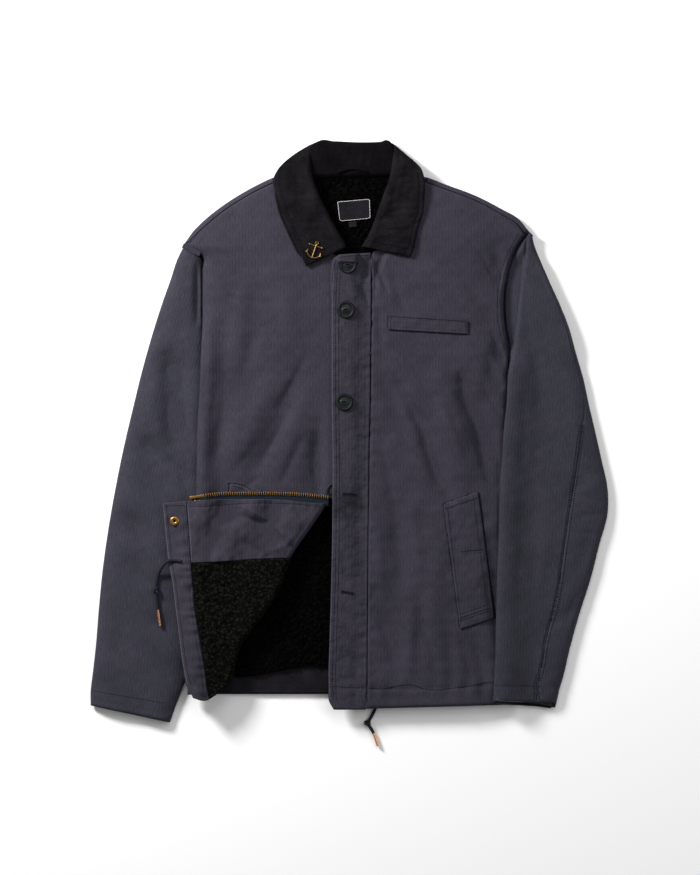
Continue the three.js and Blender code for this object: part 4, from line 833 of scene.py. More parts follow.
def placketWall():
    u = refine([0, 0.05, 0.18, 0.38, 0.6, 0.8, 0.93, 1], 0.036)[None, :]
    v = np.linspace(0, 1, 310)[:, None]
    xl, yl, xr, yr = placketRows(v)
    x, y = mix(xl, xr, u), mix(yl, yr, u)
    end = 1 - bend(np.minimum(v, 1 - v) * placket["long"] / 2.6)
    roll = np.maximum(0.42 * (1 - bend(u * placket["wide"] / 2.8)), 0.4 * end)
    top, floor = placketTop(x, y), placketFloor(x, y)
    return (grid(x, y, top - (top - floor) * roll),
            grid(x, y, floor + (top - floor) * roll * 0.8))


placketPiece = clothPiece("placket_left", [placketWall()], "shell_cloth", placketCotton)

# Sleeves
sleeve = {"bulk": 12, "floorWall": 5, "slit": 1.9, "overLift": 15.4, "length": 640, "edgeZ": 4,
          "lowEdgeZ": 3.6}
sleeveRightRows = columns([
    [-224, 248.2, -200.6, 233], [-232, 232, -199.6, 217], [-241, 205, -199.2, 190], [-253, 171, -199, 153],
    [-266, 130, -194, 107], [-280, 80, -193, 55], [-292, 31, -195, 4], [-304, -20, -196.5, -49],
    [-315, -74, -197.5, -103], [-325, -131, -200, -158], [-333, -188, -203, -212], [-338, -239, -206, -262],
    [-342, -289, -211, -306],
    [-346, -325, -223, -342], [-349, -350, -233, -367], [-349, -370, -242, -393]])


def beside(y):
    return float(rightEdge(y)) + 1.6


sleeveLeftRows = columns([
    [241.6, 266.4, 245.8, 265.6, 244.9], [beside(252), 252, 249, 251.5, 247.6],
    [beside(236), 236, 254.8, 235.6, 252.5], [beside(205), 205, 269, 202, 266.5],
    [beside(171), 171, 284, 169, 281], [beside(138), 138, 296, 138, 292.5],
    [217, 106, 304, 109, 300], [213, 74, 315, 72, 310.5], [211, 35, 323, 35, 317], [207, -1, 331, 1, 313.5],
    [205, -39, 340, -39, 308], [202, -77, 348, -77, 302], [201, -113, 348, -111, 296],
    [200, -154, 337, -153, 290], [198, -201, 325, -200, 283], [197, -248, 310, -247, 273],
    [196, -293, 298, -290, 263], [194, -336, 288, -332, 256],
    [193, -364, 278, -363, 252]])
sleeveCreases = {
    "right": [[-262, 100, -236, 30, 12, 0.8], [-228, 84, -214, -30, 6, -1.0], [-276, 40, -240, -20, 8, 0.8],
        [-286, -30, -236, -86, 6, -1.0], [-236, -40, -214, -90, 6, -1.2], [-308, -90, -276, -150, 7, -0.7],
        [-300, -150, -240, -220, 9, 0.6], [-330, -200, -300, -270, 7, -0.6],
        [-240, -160, -222, -230, 6, -0.7], [-320, -290, -280, -330, 7, -0.6],
        [-260, -300, -236, -350, 6, -0.6], [-248, 180, -222, 150, 6, -0.7], [-236, 220, -214, 196, 5, -0.8],
        [-203, 222, -204, 150, 6, -3.6], [-238, 112, -234, 40, 15, -2.4], [-234, 40, -230, -10, 14, -2.2],
        [-278, -4, -262, -40, 16, -1.8],
        [-232, 84, -222, -58, 15, -1.2], [-284, -12, -232, -72, 16, -0.8], [-226, -20, -216, -96, 9, -1.4]],
    "left": [[238.3, 262, 236, 224, 1.8, -2.2],
        [338, -96, 314, -86, 4, -0.9], [344, -112, 312, -114, 4, -1.0], [336, -140, 308, -136, 4, -0.9],
        [328, -60, 306, -44, 5, -0.7], [288, -270, 306, -222, 4, -0.9], [276, -246, 294, -196, 6, -0.6],
        [236, 60, 232, -60, 7, -0.7], [262, 150, 276, 60, 9, -0.6], [300, 60, 308, -30, 7, 0.5],
        [232, -120, 226, -250, 8, -0.6], [266, -120, 250, -260, 8, 0.6], [232, 180, 246, 120, 6, -0.8],
        [228, 216, 240, 180, 5, -0.8]]}
# the upper arm's cloth folds back over the armhole seam along this line
tuckLine = through([[60, 214], [82, 217], [116, 222], [160, 227.5], [197, 231.5], [240, 235], [262, 237]])
elbowSeam = [[317, 35], [313.5, 1], [308, -39], [302, -77], [296, -111], [290, -153], [283, -200],
        [273, -247], [263, -290], [256, -332], [252, -363]]


def sleeveRest(x, y):
    over = sleeve["overLift"] * ease((rightEdge(y) + 44 - x) / 62) * ease((120 - y) / 40)
    return np.where(x > 0, over, 0.0)


def innerRound(y):
    # rounder where the sleeve falls away beside the armhole seam
    return mix(26, 8, ease((y - 95) / 30)) + 9 * hill((y - 165) / 42)


def sleeveTop(x, y, d, roundness):
    left = np.where(x > 0, 1.0, 0.0)
    height = bend(d / roundness)
    tuck = left * ease((y - 84) / 36) * ease((246 - y) / 26)
    height = mix(height, 0.2 * bend(d / 5) + 0.8 * bend((x - tuckLine(y) + 0.5) / 5), tuck)
    z = sleeveRest(x, y) + sleeve["edgeZ"] + (sleeve["bulk"] - sleeve["edgeZ"]) * height
    z = z + folds(sleeveFolds, x, y) * ease(d / 16)
    fine = (1 - left) * folds(sleeveCreases["right"], x, y) * 1.4
    fine = fine + left * folds(sleeveCreases["left"], x, y) * 1.3
    fine = fine + (0.7 - 0.25 * left) * swell(x, y, 52, 71) + 0.2 * swell(x, y, 20, 72)
    fine = fine + 0.6 * folds(sleeveFolds, x, y)
    fine = fine + left * puckers(x, y, elbowSeam, 4, 7, 0.5, 73)
    cuffLine = np.where(x > 0, y + 341 + 0.04 * (x - 190), y + 362 + 0.19 * (x + 349))
    fine = fine - 0.4 * hill(cuffLine / 2.2)
    return z + fine * ease(d / 8) * (1 - tuck * ease((tuckLine(y) + 4 - x) / 5))


def sleeveTopInner(x, y, d):
    rise = sleeve["floorWall"] + sleeve["slit"] - sleeve["edgeZ"]
    return sleeveRest(x, y) + sleeve["edgeZ"] + rise * bend((d - body["edgeInset"]) / 26)


def sleeveLow(x, y, d):
    hollow = 0.5 * np.maximum(0, swell(x, y, 55, 74)) * ease(d / 20)
    return sleeveRest(x, y) + sleeve["lowEdgeZ"] * (1 - bend(d / 10)) + hollow


def sleeveLowInner(x, y, d):
    edge = sleeve["lowEdgeZ"]
    return sleeveRest(x, y) + edge + (sleeve["floorWall"] - edge) * bend((d - body["edgeInset"]) / 20)


sleeveUs = [0, 0.01, 0.035, 0.1, 0.22, 0.4, 0.6, 0.78, 0.9, 0.965, 0.99, 1]


def plainSleeveWall(rows, top):
    v = np.linspace(0, 1, 214 if top else 120)[:, None]
    xo, yo, xi, yi = rows(v)
    width = np.hypot(xi - xo, yi - yo)
    t = np.minimum(body["edgeInset"], width * 0.2)
    u = refine(sleeveUs, 0.024)[None, :]
    w = mix(t / width, 1 - t / width, u)
    x, y, a, b = mix(xo, xi, u), mix(yo, yi, u), mix(xo, xi, w), mix(yo, yi, w)
    d, e = np.minimum(u, 1 - u) * width, np.minimum(w, 1 - w) * width + (body["edgeInset"] - t)
    end = 1 - bend((1 - v) * sleeve["length"] / 3)
    places = np.stack([u * width, v * sleeve["length"] + 0 * u], -1)
    if top:
        outer = sleeveTop(x, y, d, np.minimum(26, width * 0.4)) - 1.6 * end * bend(d / 9)
        inner = sleeveTopInner(a, b, e) + 0.5 * end
    else:
        outer = sleeveLow(x, y, d) + 0.8 * end * bend(d / 9)
        inner = sleeveLowInner(a, b, e) - 0.3 * end
    return (grid(x, y, outer), grid(a, b, inner)), places


def sewSleeve(name, wall, places):
    return clothPiece(name, [wall], "sleeve_cloth", sleeveCotton, [places])


sleeveRightUpper = sewSleeve("sleeve_right_upper", *plainSleeveWall(sleeveRightRows, True))
sleeveRightUnder = sewSleeve("sleeve_right_under", *plainSleeveWall(sleeveRightRows, False))

sleeveVs = refine([0, 0.024, 0.055, 0.1, 0.15, 0.205, 0.26, 0.305, 0.345, 0.39, 0.46, 0.54, 0.63, 0.72,
                   0.81, 0.91, 1], 0.0044)[:, None]
leftRow = dict(zip(("xi", "yi", "xo", "yo", "xs"), sleeveLeftRows(sleeveVs)))
leftRow["width"] = np.hypot(leftRow["xo"] - leftRow["xi"], leftRow["yo"] - leftRow["yi"])
leftRow["seam"] = leftRow["xs"] - leftRow["xi"]
leftRow["thick"] = np.minimum(body["edgeInset"], leftRow["width"] * 0.2)
leftRow["k"] = np.minimum(1, leftRow["width"] / 96)
overSteps = refine([0, 1.5, 4.5, 9, 14, 20, 26, 33, 44], 2.8)


def leftSpot(s, inner, high):
    r = leftRow
    x, y = mix(r["xi"], r["xo"], s / r["width"]), mix(r["yi"], r["yo"], s / r["width"])
    d = np.minimum(s, r["width"] - s)
    e = d + (body["edgeInset"] - r["thick"])
    rounding = np.minimum(r["width"] * 0.4, np.where(s < r["width"] / 2, innerRound(y), 26))
    end = 1 - bend((1 - sleeveVs) * sleeve["length"] / 3)
    # the cuff leans down to the elbow side, and its under layer shows past the upper one
    reach, lean = ease((sleeveVs - 0.965) / 0.035), clamp((x - 196) / 80)
    y = y - reach * lean * 3.5
    if not high:
        y = y - reach * (3.5 + 3 * lean) * ease((x - 192) / 6)
    if high and inner:
        z = sleeveTopInner(x, y, e) + 0.5 * end
    elif high:
        z = sleeveTop(x, y, d, rounding) - 1.6 * end * bend(d / 9)
    elif inner:
        z = sleeveLowInner(x, y, e) - 0.3 * end
    else:
        z = sleeveLow(x, y, d) + 0.8 * end * bend(d / 9)
    return np.stack([x, y, z], -1)


def overDistance(inner):
    r = leftRow
    steps = overSteps[None, :]
    return steps * r["k"] + (r["thick"] * (1 - steps / 44) if inner else 0)


def leftUpperWall():
    r = leftRow
    stop = r["seam"] - 0.2
    inStop = np.minimum(stop, r["width"] - r["thick"] - 0.3)
    share = refine([0, 0.35, 0.65, 0.88, 1], 0.05)[None, 1:]
    start = 44 * r["k"]
    so = np.concatenate([overDistance(False), mix(start, stop, share)], 1)
    si = np.concatenate([overDistance(True), mix(start, inStop, share)], 1)
    places = np.stack([so, sleeveVs * sleeve["length"] + 0 * so], -1)
    return (leftSpot(so, False, True), leftSpot(si, True, True)), places


def leftUnderWall():
    r = leftRow
    start, last = r["seam"] + 0.2, r["width"] - r["thick"]
    wrap = refine([0, 0.4, 0.75, 0.93, 1], 0.09)[None, :]
    low = refine([0.01, 0.06, 0.3, 0.62, 1], 0.06)[None, :-1]
    upO = leftSpot(mix(start, r["width"], wrap), False, True)
    upI = leftSpot(mix(np.minimum(start, last), last, wrap), True, True)
    loO = leftSpot(mix(r["width"], 44 * r["k"], low), False, False)
    loI = leftSpot(mix(last, 44 * r["k"], low), True, False)
    endO = leftSpot(overDistance(False)[:, ::-1], False, False)
    endI = leftSpot(overDistance(True)[:, ::-1], True, False)
    outer, inner = np.concatenate([upO, loO, endO], 1), np.concatenate([upI, loI, endI], 1)
    run = np.cumsum(np.concatenate([np.zeros((len(outer), 1)), np.hypot(
        np.diff(outer[..., 0], axis=1), np.diff(outer[..., 2], axis=1))], 1), 1)
    return (outer, inner), np.stack([run, sleeveVs * sleeve["length"] + 0 * run], -1)


sleeveLeftUpper = sewSleeve("sleeve_left_upper", *leftUpperWall())
sleeveLeftUnder = sewSleeve("sleeve_left_under", *leftUnderWall())
print("stage: sleeves cut")


# Turned-out lower corner of the wearer's right front
corner = {"shell": 2.6, "pile": 4.7, "facing": 1.6, "tuft": 5.2, "tuftRise": 2.2, "zipFrom": -213,
          "zipTo": -26, "tapeGap": 0.25, "tapeThick": 0.6}
cornerLayer = corner["shell"] + body["seamGap"]
facingEnd = 4 / 14
cornerRows = columns([
    [-251, -97, -219, -97], [-248, -134, -216, -134], [-244, -169, -213, -169], [-238, -204, -210, -204],
    [-234, -238, -207, -238], [-230, -269, -202, -269], [-227, -294, -198, -294],
    [-223, -320, -194, -318], [-219, -341, -191, -338], [-210, -356, -188, -349]])
cornerRest = through([
    [-50, 15.2], [-28, 17], [-12, 21], [0, 23.6], [8, 25.2], [14, 25.4], [22, 24.2], [36, 21.8], [60, 20.3],
    [90, 19.9], [240, 19.9]])
cornerFolds = [[-150, -100, -92, -160, 9, 1.2], [-175, -110, -120, -166, 8, -0.9],
        [-180, -230, -150, -280, 10, 0.8]]
facingCreases = [
    [-142, -106, -112, -122, 3, 1.5], [-114, -121, -90, -138, 3, 1.6], [-92, -136, -78, -156, 3, 1.3],
    [-146, -112, -118, -128, 3.5, -1.2], [-120, -127, -96, -144, 3.5, -1.2],
    [-206, -110, -196, -160, 6, -0.9], [-178, -112, -150, -170, 10, 0.9], [-150, -150, -110, -168, 7, -0.8],
    [-200, -112, -176, -126, 5, -0.6], [-120, -168, -80, -150, 4, 0.8], [-196, -128, -150, -116, 6, -0.5],
    [-70, -100, -60, -130, 5, -0.5],
    [-178, -150, -120, -170, 6, 0.5], [-206, -176, -172, -152, 5, -0.5]]
facingFold = [[-144, -104], [-128, -112], [-110, -122], [-96, -134], [-84, -148], [-79, -157]]


def cornerFloor(x, y):
    return cornerRest(x - leftEdge(y)) + folds(cornerFolds, x, y)


def arch(x):
    return 24 * clamp((x + 251) / 228) * clamp((-27 - x) / 228) * ease((-32 - x) / 60)


def cornerSpot(v, share):
    xl, yl, xs, ys = cornerRows(v)
    xr = foldLine(ys)
    x, y = mix(xr, xl, share), mix(ys, yl, share)
    # the facing's lower edge drops toward the hem side
    drop = 6.5 * hill((v - facingEnd) / 0.13) * ease(share / 0.9)
    # the tip hangs lowest under the hem band
    drop = drop + 9 * hill((x + 193) / 15) * ease((v - 0.86) / 0.14)
    return x, y + arch(x) * (1 - ease(v / 0.3)) - drop, xr - xl, (xr - xs) / (xr - xl)


def turnedWall(v0, v1, rows, shareEnd, level, relief, step):
    v = np.linspace(v0, v1, rows)[:, None]
    refX, refY, width, seam = cornerSpot(v, 0 * v)
    end = shareEnd(v, width, seam)
    pivotX, pivotY = cornerSpot(v, foldReach / width)[:2]
    floor, low, high = cornerFloor(pivotX, pivotY), frontInner(pivotX, pivotY), frontOuter(pivotX, pivotY)
    arcs = np.radians(np.linspace(-90, 90, 15))[None, :]
    stations = np.arange(186, -37, -step)[None, :]
    n = stations.shape[1]
    k = np.arange(n)[None, :]

    def face(reach, lowZ, up, extra):
        upZ = floor + up
        mid, half = (lowZ + upZ) / 2, (upZ - lowZ) / 2
        foldX, foldY = cornerSpot(v, (foldReach - reach * np.cos(arcs)) / width)[:2]
        fold = grid(foldX, foldY, mid + half * np.sin(arcs))
        small, first = 0.05 / width, foldReach / width
        want = (refX - leftEdge(refY) - stations) / width
        share = np.minimum(end - small * (n - k), np.maximum(first + small * (k + 1), want))
        share = np.concatenate([share, end], 1)
        x, y = cornerSpot(v, share)[:2]
        z = cornerFloor(x, y) + up
        if extra:
            z = z + extra(x, y, (end - share) * width, v) * ease((share - first) * width / 10)
        return np.concatenate([fold, grid(x, y, z)], 1)
    outer = face(level["outReach"], mix(low, high, level["outLow"]), level["outUp"], relief)
    inner = face(level["inReach"], mix(low, high, level["inLow"]), level["inUp"], None)
    # cut and hem edges roll to the middle of the cloth
    back = (end * width) - np.hypot(outer[..., 0] - refX, outer[..., 1] - refY)
    thick = level["outUp"] - level["inUp"]
    flat = np.concatenate([np.zeros((rows, arcs.shape[1])), np.ones((rows, n + 1))], 1)
    outer[..., 2] -= flat * thick * 0.42 * (1 - bend(np.maximum(0, back) / 2.4))
    return outer, inner


turnedShell = clothPiece("front_right_turned", [turnedWall(
    0, 1, 110, lambda v, w, s: 1 + 0 * v,
    {"outReach": 4.7, "inReach": 2.2, "outLow": 0.58, "inLow": 0.96, "outUp": corner["shell"], "inUp": 0},
    None, 4)], "shell_cloth", shellCotton)


facingTop = through([
    [-225, -102.3], [-195, -101.2], [-155, -98], [-109, -96.6], [-67, -98.6], [-29, -102.6]])


def facingRelief(x, y, fromEdge, v):
    z = 1.9 * folds(facingCreases, x, y) + 2.4 * swell(x, y, 46, 81) + 0.35 * swell(x, y, 15, 82)
    d, run, side = lineSpot(x, y, facingFold)
    fold = np.where(side > 0, 2.6 * hill(d / 9), -0.9 * hill(d / 3)) * ease(d / 2)
    z = 0.5 + z + fold * ease((run + 4) / 10)
    topSeam = facingTop(x)
    z = z - 0.7 * hill((y - topSeam) / 1.8)
    z = z + 0.55 * np.sin(x / 8.5 * 2 * np.pi + 2 * np.sin(x / 17)) * hill((y - topSeam) / 5)
    z = z + 0.9 * np.sin(x / 17 * 2 * np.pi + 2 * np.sin(x / 23)) * hill((v - facingEnd) / 0.04)
    # the cotton never sinks into the shell below it
    z = ((z + 0.8) + np.sqrt((z + 0.8) ** 2 + 0.3)) / 2 - 0.8
    return z * ease(fromEdge / 3 + 0.3)


facingPiece = clothPiece("facing_right", [turnedWall(
    0, facingEnd, 56, lambda v, w, s: s - body["seamGap"] / w,
    {"outReach": 7.4, "inReach": 5.2, "outLow": 0.02, "inLow": 0.5,
     "outUp": cornerLayer + 1.4 + corner["facing"], "inUp": cornerLayer + 1.4},
    facingRelief, 2.2)], "facing_cloth", facingCotton)


def pileRelief(x, y, fromEdge, v):
    tufts = nubs(x, y, corner["tuft"], 91, 0.8) * corner["tuftRise"] - corner["tuftRise"] * 0.5
    tufts = tufts + 0.6 * (nubs(x + 1, y + 2, 2.5, 92) - 0.5) + 0.5 * swell(x, y, 32, 93)
    return tufts * ease(fromEdge / 5) * ease((v - facingEnd) / 0.015)


cornerPile = clothPiece("lining_right", [turnedWall(
    facingEnd + 0.0022, 1, 156, lambda v, w, s: s - body["seamGap"] / w,
    {"outReach": foldReach, "inReach": 5.2, "outLow": 0.0, "inLow": 0.5,
     "outUp": cornerLayer + corner["pile"], "inUp": cornerLayer},
    pileRelief, 1.3)], "pile", blackPile)


def cornerHemWall():
    u = refine([0, 0.08, 0.25, 0.5, 0.75, 0.93, 1], 0.055)[None, :]
    v = np.linspace(0, 1, 120)[:, None]
    seam = cornerSpot(v, 0 * v)[3]
    x, y = cornerSpot(v, mix(0.9985, seam, u))[:2]
    floor = cornerFloor(x, y) + cornerLayer + 0.5
    edge = 1 - bend(np.minimum(u, 1 - u) / 0.12)
    gather = np.sin(v * 255 / 13 * 2 * np.pi + 2.2 * np.sin(v * 21)) * ease(v / 0.18) * 0.6
    gather = gather * hill((u - 0.92) / 0.5)
    # the strip is stuffed with its own allowance and stands up between its two edges
    puff = 2.2 * np.sin(np.pi * u) ** 0.7 * ease((v - 0.2) / 0.15)
    crease = 0.5 * swell(x, y, 20, 95) + gather - 0.9 * hill((u - 0.86) / 0.05)
    top = floor + 2 + (crease + puff) * (1 - edge)
    return grid(x, y, top - 0.9 * edge), grid(x, y, floor + 0.3 * edge)


cornerHem = clothPiece("hem_facing_right", [cornerHemWall()], "facing_cloth", facingCotton)


zipLine = through([[-214, -89.8], [-193.7, -86.4], [-134.3, -84.1], [-66.8, -85.5], [-26.3, -89.5]])


def tapeWall():
    x = np.linspace(corner["zipFrom"], corner["zipTo"] - 2, 70)[:, None]
    y = mix(-101 + arch(x), zipLine(x) + 2.1, np.linspace(0, 1, 5)[None, :])
    x = x + 0 * y
    z = cornerFloor(x, y) + cornerLayer + corner["tapeGap"]
    return grid(x, y, z + corner["tapeThick"]), grid(x, y, z)


zipTape = clothPiece("zip_tape_right", [tapeWall()], "zip_tape", navyTape)
print("stage: turned corner cut")

# Collar
collar = {"wall": 4.2, "felt": 3.2, "rollReach": 6.6, "leafLong": 150, "seamY": 345.2, "rollMid": 6.8,
          "innerRoll": (3.2, 7, 2.3), "faceZ": (9.4, 13.6), "foldOver": 8}
leafRightRows = columns([
    [-42.5, 390, -55, 385, 1, 6, 5], [-50.5, 379, -74, 373, 4, 10, 12], [-52.5, 363, -94, 355, 10, 15.5, 24],
    [-49.5, 342, -103, 336, 9.4, 17.8, 33], [-40, 316, -97, 316, 9.2, 19, 35],
    [-29, 294, -90, 290, 9.2, 19.4, 34], [-17, 271, -79, 265, 9.2, 19.4, 31],
    [-7, 254, -67, 240, 9.2, 19.4, 24], [-5, 247, -58, 221, 9.2, 19.4, 12]])
leafLeftRows = columns([
    [52.5, 391, 62, 385, 1, 6, 5], [57.5, 379, 78, 371, 4, 10, 10], [57.5, 362, 95, 355, 10, 15.5, 20],
    [53.5, 340, 101, 338, 9.4, 17.2, 32], [46, 319, 101, 316, 9.2, 18.1, 34],
    [38, 296, 99, 294, 9.2, 18.4, 34], [29, 271, 92, 271, 9.2, 18.6, 32],
    [20, 254, 87, 247, 9.2, 18.8, 24], [16, 248, 82, 234, 9.2, 18.8, 16]])


leafCreases = [[36, 271, 80, 270, 3, -1.3], [40, 277, 78, 277, 5, 0.8], [84, 330, 70, 300, 7, -0.8],
        [-60, 372, -48, 352, 6, -0.9], [-84, 300, -60, 262, 8, 0.6], [60, 366, 76, 340, 6, -0.8]]


def leafWall(rows, seed):
    v = np.linspace(0, 1, 110)[:, None]
    xi, yi, xo, yo, low, lift, stand = rows(v)
    width = np.hypot(xo - xi, yo - yi)
    dx, dy = (xo - xi) / width, (yo - yi) / width
    reach = np.minimum(collar["rollReach"], width * 0.4)
    end = 0.7 * (1 - bend(np.minimum(v, 1 - v) * collar["leafLong"] / 2.5))
    top = lift + collar["wall"]
    arcs = np.radians(np.linspace(-90, 90, 15))[None, :]
    share = refine([0, 0.1, 0.26, 0.5, 0.76, 0.94, 1], 0.035)[None, 1:]

    def at(s, z):
        z = z + 0 * s
        return grid(xi + dx * s, yi + dy * s, z)
    first = np.maximum(stand, reach + 1)
    inner = reach - collar["felt"]
    half = 0.5 + 0.5 * np.sin(arcs)
    s = mix(reach, width, share)
    fromRim = (1 - share) * width
    edge = 1.5 * (1 - bend(fromRim / 3))
    droop = np.where(lift < 15, (1 - lift / 19) * 4 * share, 0)
    px, py = xi + dx * s, yi + dy * s
    soft = (0.8 * swell(px, py, 34, seed) + 0.3 * swell(px, py, 12, seed + 1) + folds(leafCreases, px, py)
            - 0.5 * hill((fromRim - 8) / 1.8) * ease((lift - 12) / 4)) * ease(fromRim / 4)
    outer = np.concatenate([at(first, low), at(reach - reach * np.cos(arcs), mix(low, top - end, half)),
                            at(s, top - edge - end - droop + soft)], 1)
    other = np.concatenate([at(first, low + 3),
                            at(reach - inner * np.cos(arcs), mix(low + 3, lift + end * 0.4, half)),
                            at(s, lift + edge * 0.5 + end * 0.4 - droop)], 1)
    return outer, other


leafRight = clothPiece("collar_leaf_right", [leafWall(leafRightRows, 101)], "collar_felt", collarFelt)
leafLeft = clothPiece("collar_leaf_left", [leafWall(leafLeftRows, 103)], "collar_felt", collarFelt)
collarTopLine = through([
    [-48, 384], [-41, 390.4], [-20, 390.6], [12, 389.2], [40, 390], [51, 391.4], [56, 386]])
collarSideRight = through([[342, -49.5], [363, -52.5], [379, -50.5], [390, -42.5], [392, -41]])
collarSideLeft = through([[340, 53.5], [362, 57.5], [379, 57.5], [391, 52.5], [393, 51]])


def collarBackWall():
    u = np.linspace(0, 1, 60)[:, None]
    across, c = mix(-42, 52, u), collar
    rimY, seam, turn = collarTopLine(across), c["seamY"] + 1.6 * u, c["rollReach"]

    def at(y, z):
        y, z = y + 0 * u, z + 0 * u
        return grid(mix(collarSideRight(y) - 1.6, collarSideLeft(y) + 1.6, u), y, z + 0 * y)
    # the stand rises from the neck seam, rolls over at the rim and comes down as the fall
    heights = [(seam + 0.2, 0.8, 4.5), (356, 0, 4.5), (363, 0, 4.55), (370, 0, 4.6),
               (rimY - c["foldOver"], 0, 4.8)]
    standOut, standIn = [at(y, low) for y, low, high in heights], [at(y, high) for y, low, high in heights]
    arcs = np.radians(np.linspace(-80, 80, 15))[None, :]
    reach, middle, half = c["innerRoll"]
    rollOut = at(rimY - turn + turn * np.cos(arcs), c["rollMid"] + c["rollMid"] * np.sin(arcs))
    rollIn = at(rimY - turn + reach * np.cos(arcs), middle + half * np.sin(arcs))
    k = refine([0.08, 0.3, 0.55, 0.8, 0.97, 1], 0.05)[None, :]
    y = mix(rimY - 8.4, seam, k)
    soft = 0.5 * swell(across + 0 * y, y, 30, 105) + 0.2 * swell(across + 0 * y, y, 11, 106)
    crown = 0.6 * np.sin(np.pi * k) - 0.5 * ease((k - 0.97) / 0.03)
    faceIn, faceOut = at(y, c["faceZ"][0]), at(y, c["faceZ"][1] + crown + soft * ease((1 - k) / 0.1))
    downOut = [at(seam - 1.6, 12.2), at(seam - 3, 10.4), at(seam - 4.4, 9.3)]
    downIn = [at(seam - 0.6, 8.9), at(seam - 2, 8.6), at(seam - 4.4, 8.5)]
    return (np.concatenate(standOut + [rollOut, faceOut] + downOut, 1),
            np.concatenate(standIn + [rollIn, faceIn] + downIn, 1))


# the inside of the collar's back wears the darker felt copy, painted shade
collarBack = clothPiece("collar_back", [collarBackWall()], "collar_felt", shadedFelt)


def underCollarWall():
    v = np.linspace(0.36, 0.96, 64)[:, None]
    xi, yi, xo, yo, _, lift, _ = leafRightRows(v)
    width = np.hypot(xo - xi, yo - yi)
    out, shown = refine([-9, -3, 0, 3.6], 1.2)[None, :], ease((v - 0.36) / 0.16) * ease((0.98 - v) / 0.07)
    s = width + np.where(out > 0, out * (0.05 + 0.95 * shown), out) - 2.5 * (1 - shown)
    x, y = xi + (xo - xi) / width * s, yi + (yo - yi) / width * s
    z = np.minimum(lift - 1.1, frontOuter(x, y) + 0.3)
    return grid(x, y, z + 0.8), grid(x, y, z)


underCollar = clothPiece("under_collar_right", [underCollarWall()], "collar_felt", collarFelt)
print("stage: collar cut")


# Pieces laid on a panel: corners in order round the piece, the panel's face, gap and thickness
def patchWall(corners, across, down, surface, lift, thick, roll=1.4, relief=None):
    a, b, c, d = corners
    w = math.hypot(b[0] - a[0], b[1] - a[1])
    h = math.hypot(d[0] - a[0], d[1] - a[1])
    u, v = np.linspace(0, 1, across)[None, :], np.linspace(0, 1, down)[:, None]
    x = mix(mix(a[0], b[0], u), mix(d[0], c[0], u), v)
    y = mix(mix(a[1], b[1], u), mix(d[1], c[1], u), v)
    z = surface(x, y) + lift
    rim = np.minimum(np.minimum(u, 1 - u) * w, np.minimum(v, 1 - v) * h)
    edge = 1 - bend(rim / roll)
    top = z + thick * (1 - 0.5 * edge)
    if relief:
        top = top + relief(x, y, rim) * (1 - edge)
    return grid(x, y, top), grid(x, y, z + thick * 0.15 * edge)


def weltRelief(x, y, rim):
    return 0.18 * swell(x, y, 13, 111) - 0.35 * hill((rim - 3.2) / 1.1)


def patchPiece(name, slot, material, *measures):
    return clothPiece(name, [patchWall(*measures)], slot, material)


labelCorners = [[-17, 309], [28, 313], [29, 286], [-14, 282]]
chestWeltPiece = patchPiece("chest_welt", "shell_cloth", shellCotton, chestWelt, 80, 24, frontTop,
                            0.35, 1.9, 1.6, weltRelief)
sideWeltPiece = patchPiece("pocket_welt_left", "shell_cloth", shellCotton, sideWelt, 36, 110, frontTop,
                           0.35, 1.9, 1.8, weltRelief)
peekWelt = patchPiece("pocket_welt_right", "shell_cloth", shellCotton,
                      [[-160, -70], [-118, -80], [-120, -93], [-163, -93]], 24, 10, frontTop, 0.5, 1.1, 1.2)
labelPiece = patchPiece("label", "label_cloth", blackLining, labelCorners, 40, 26, liningTop, 0.9, 0.8, 0.5)
patchPiece("size_tab", "label_cloth", blackLining,
           [[-1, 281.5], [10, 282.5], [10.4, 275], [-0.6, 274]], 10, 8, liningTop, 0.9, 0.6, 0.4)


loop = {"from": -16, "to": 24, "low": 346.6, "high": 351, "bow": 8.5, "z": 14.3, "thick": 1.2}


def hangLoopWall():
    t = np.linspace(0, 1, 33)[:, None]
    bow = np.sin(np.pi * t)
    y = mix(loop["low"], loop["high"], np.linspace(0, 1, 5)[None, :]) + loop["bow"] * bow * 0.6
    x, z = mix(loop["from"], loop["to"], t) + 0 * y, loop["z"] + 0.8 * bow + 0 * y
    return grid(x, y, z + loop["thick"]), grid(x, y, z)


# the hang loop wears the darker felt copy, painted shade
clothPiece("hang_loop", [hangLoopWall()], "collar_felt", shadedFelt)


# Seam allowances that close the armhole and shoulder seams from below
def allowanceWall(line, reach, level):
    t = np.linspace(0, 1, 60)
    x, y = along(line)(t)
    dx, dy = np.gradient(x), np.gradient(y)
    length = np.hypot(dx, dy)
    nx, ny = dy / length, -dx / length
    s = np.linspace(-reach, reach, 7)[None, :]
    px, py = x[:, None] + nx[:, None] * s, y[:, None] + ny[:, None] * s
    z = level + 0 * px
    return grid(px, py, z + 0.9), grid(px, py, z)


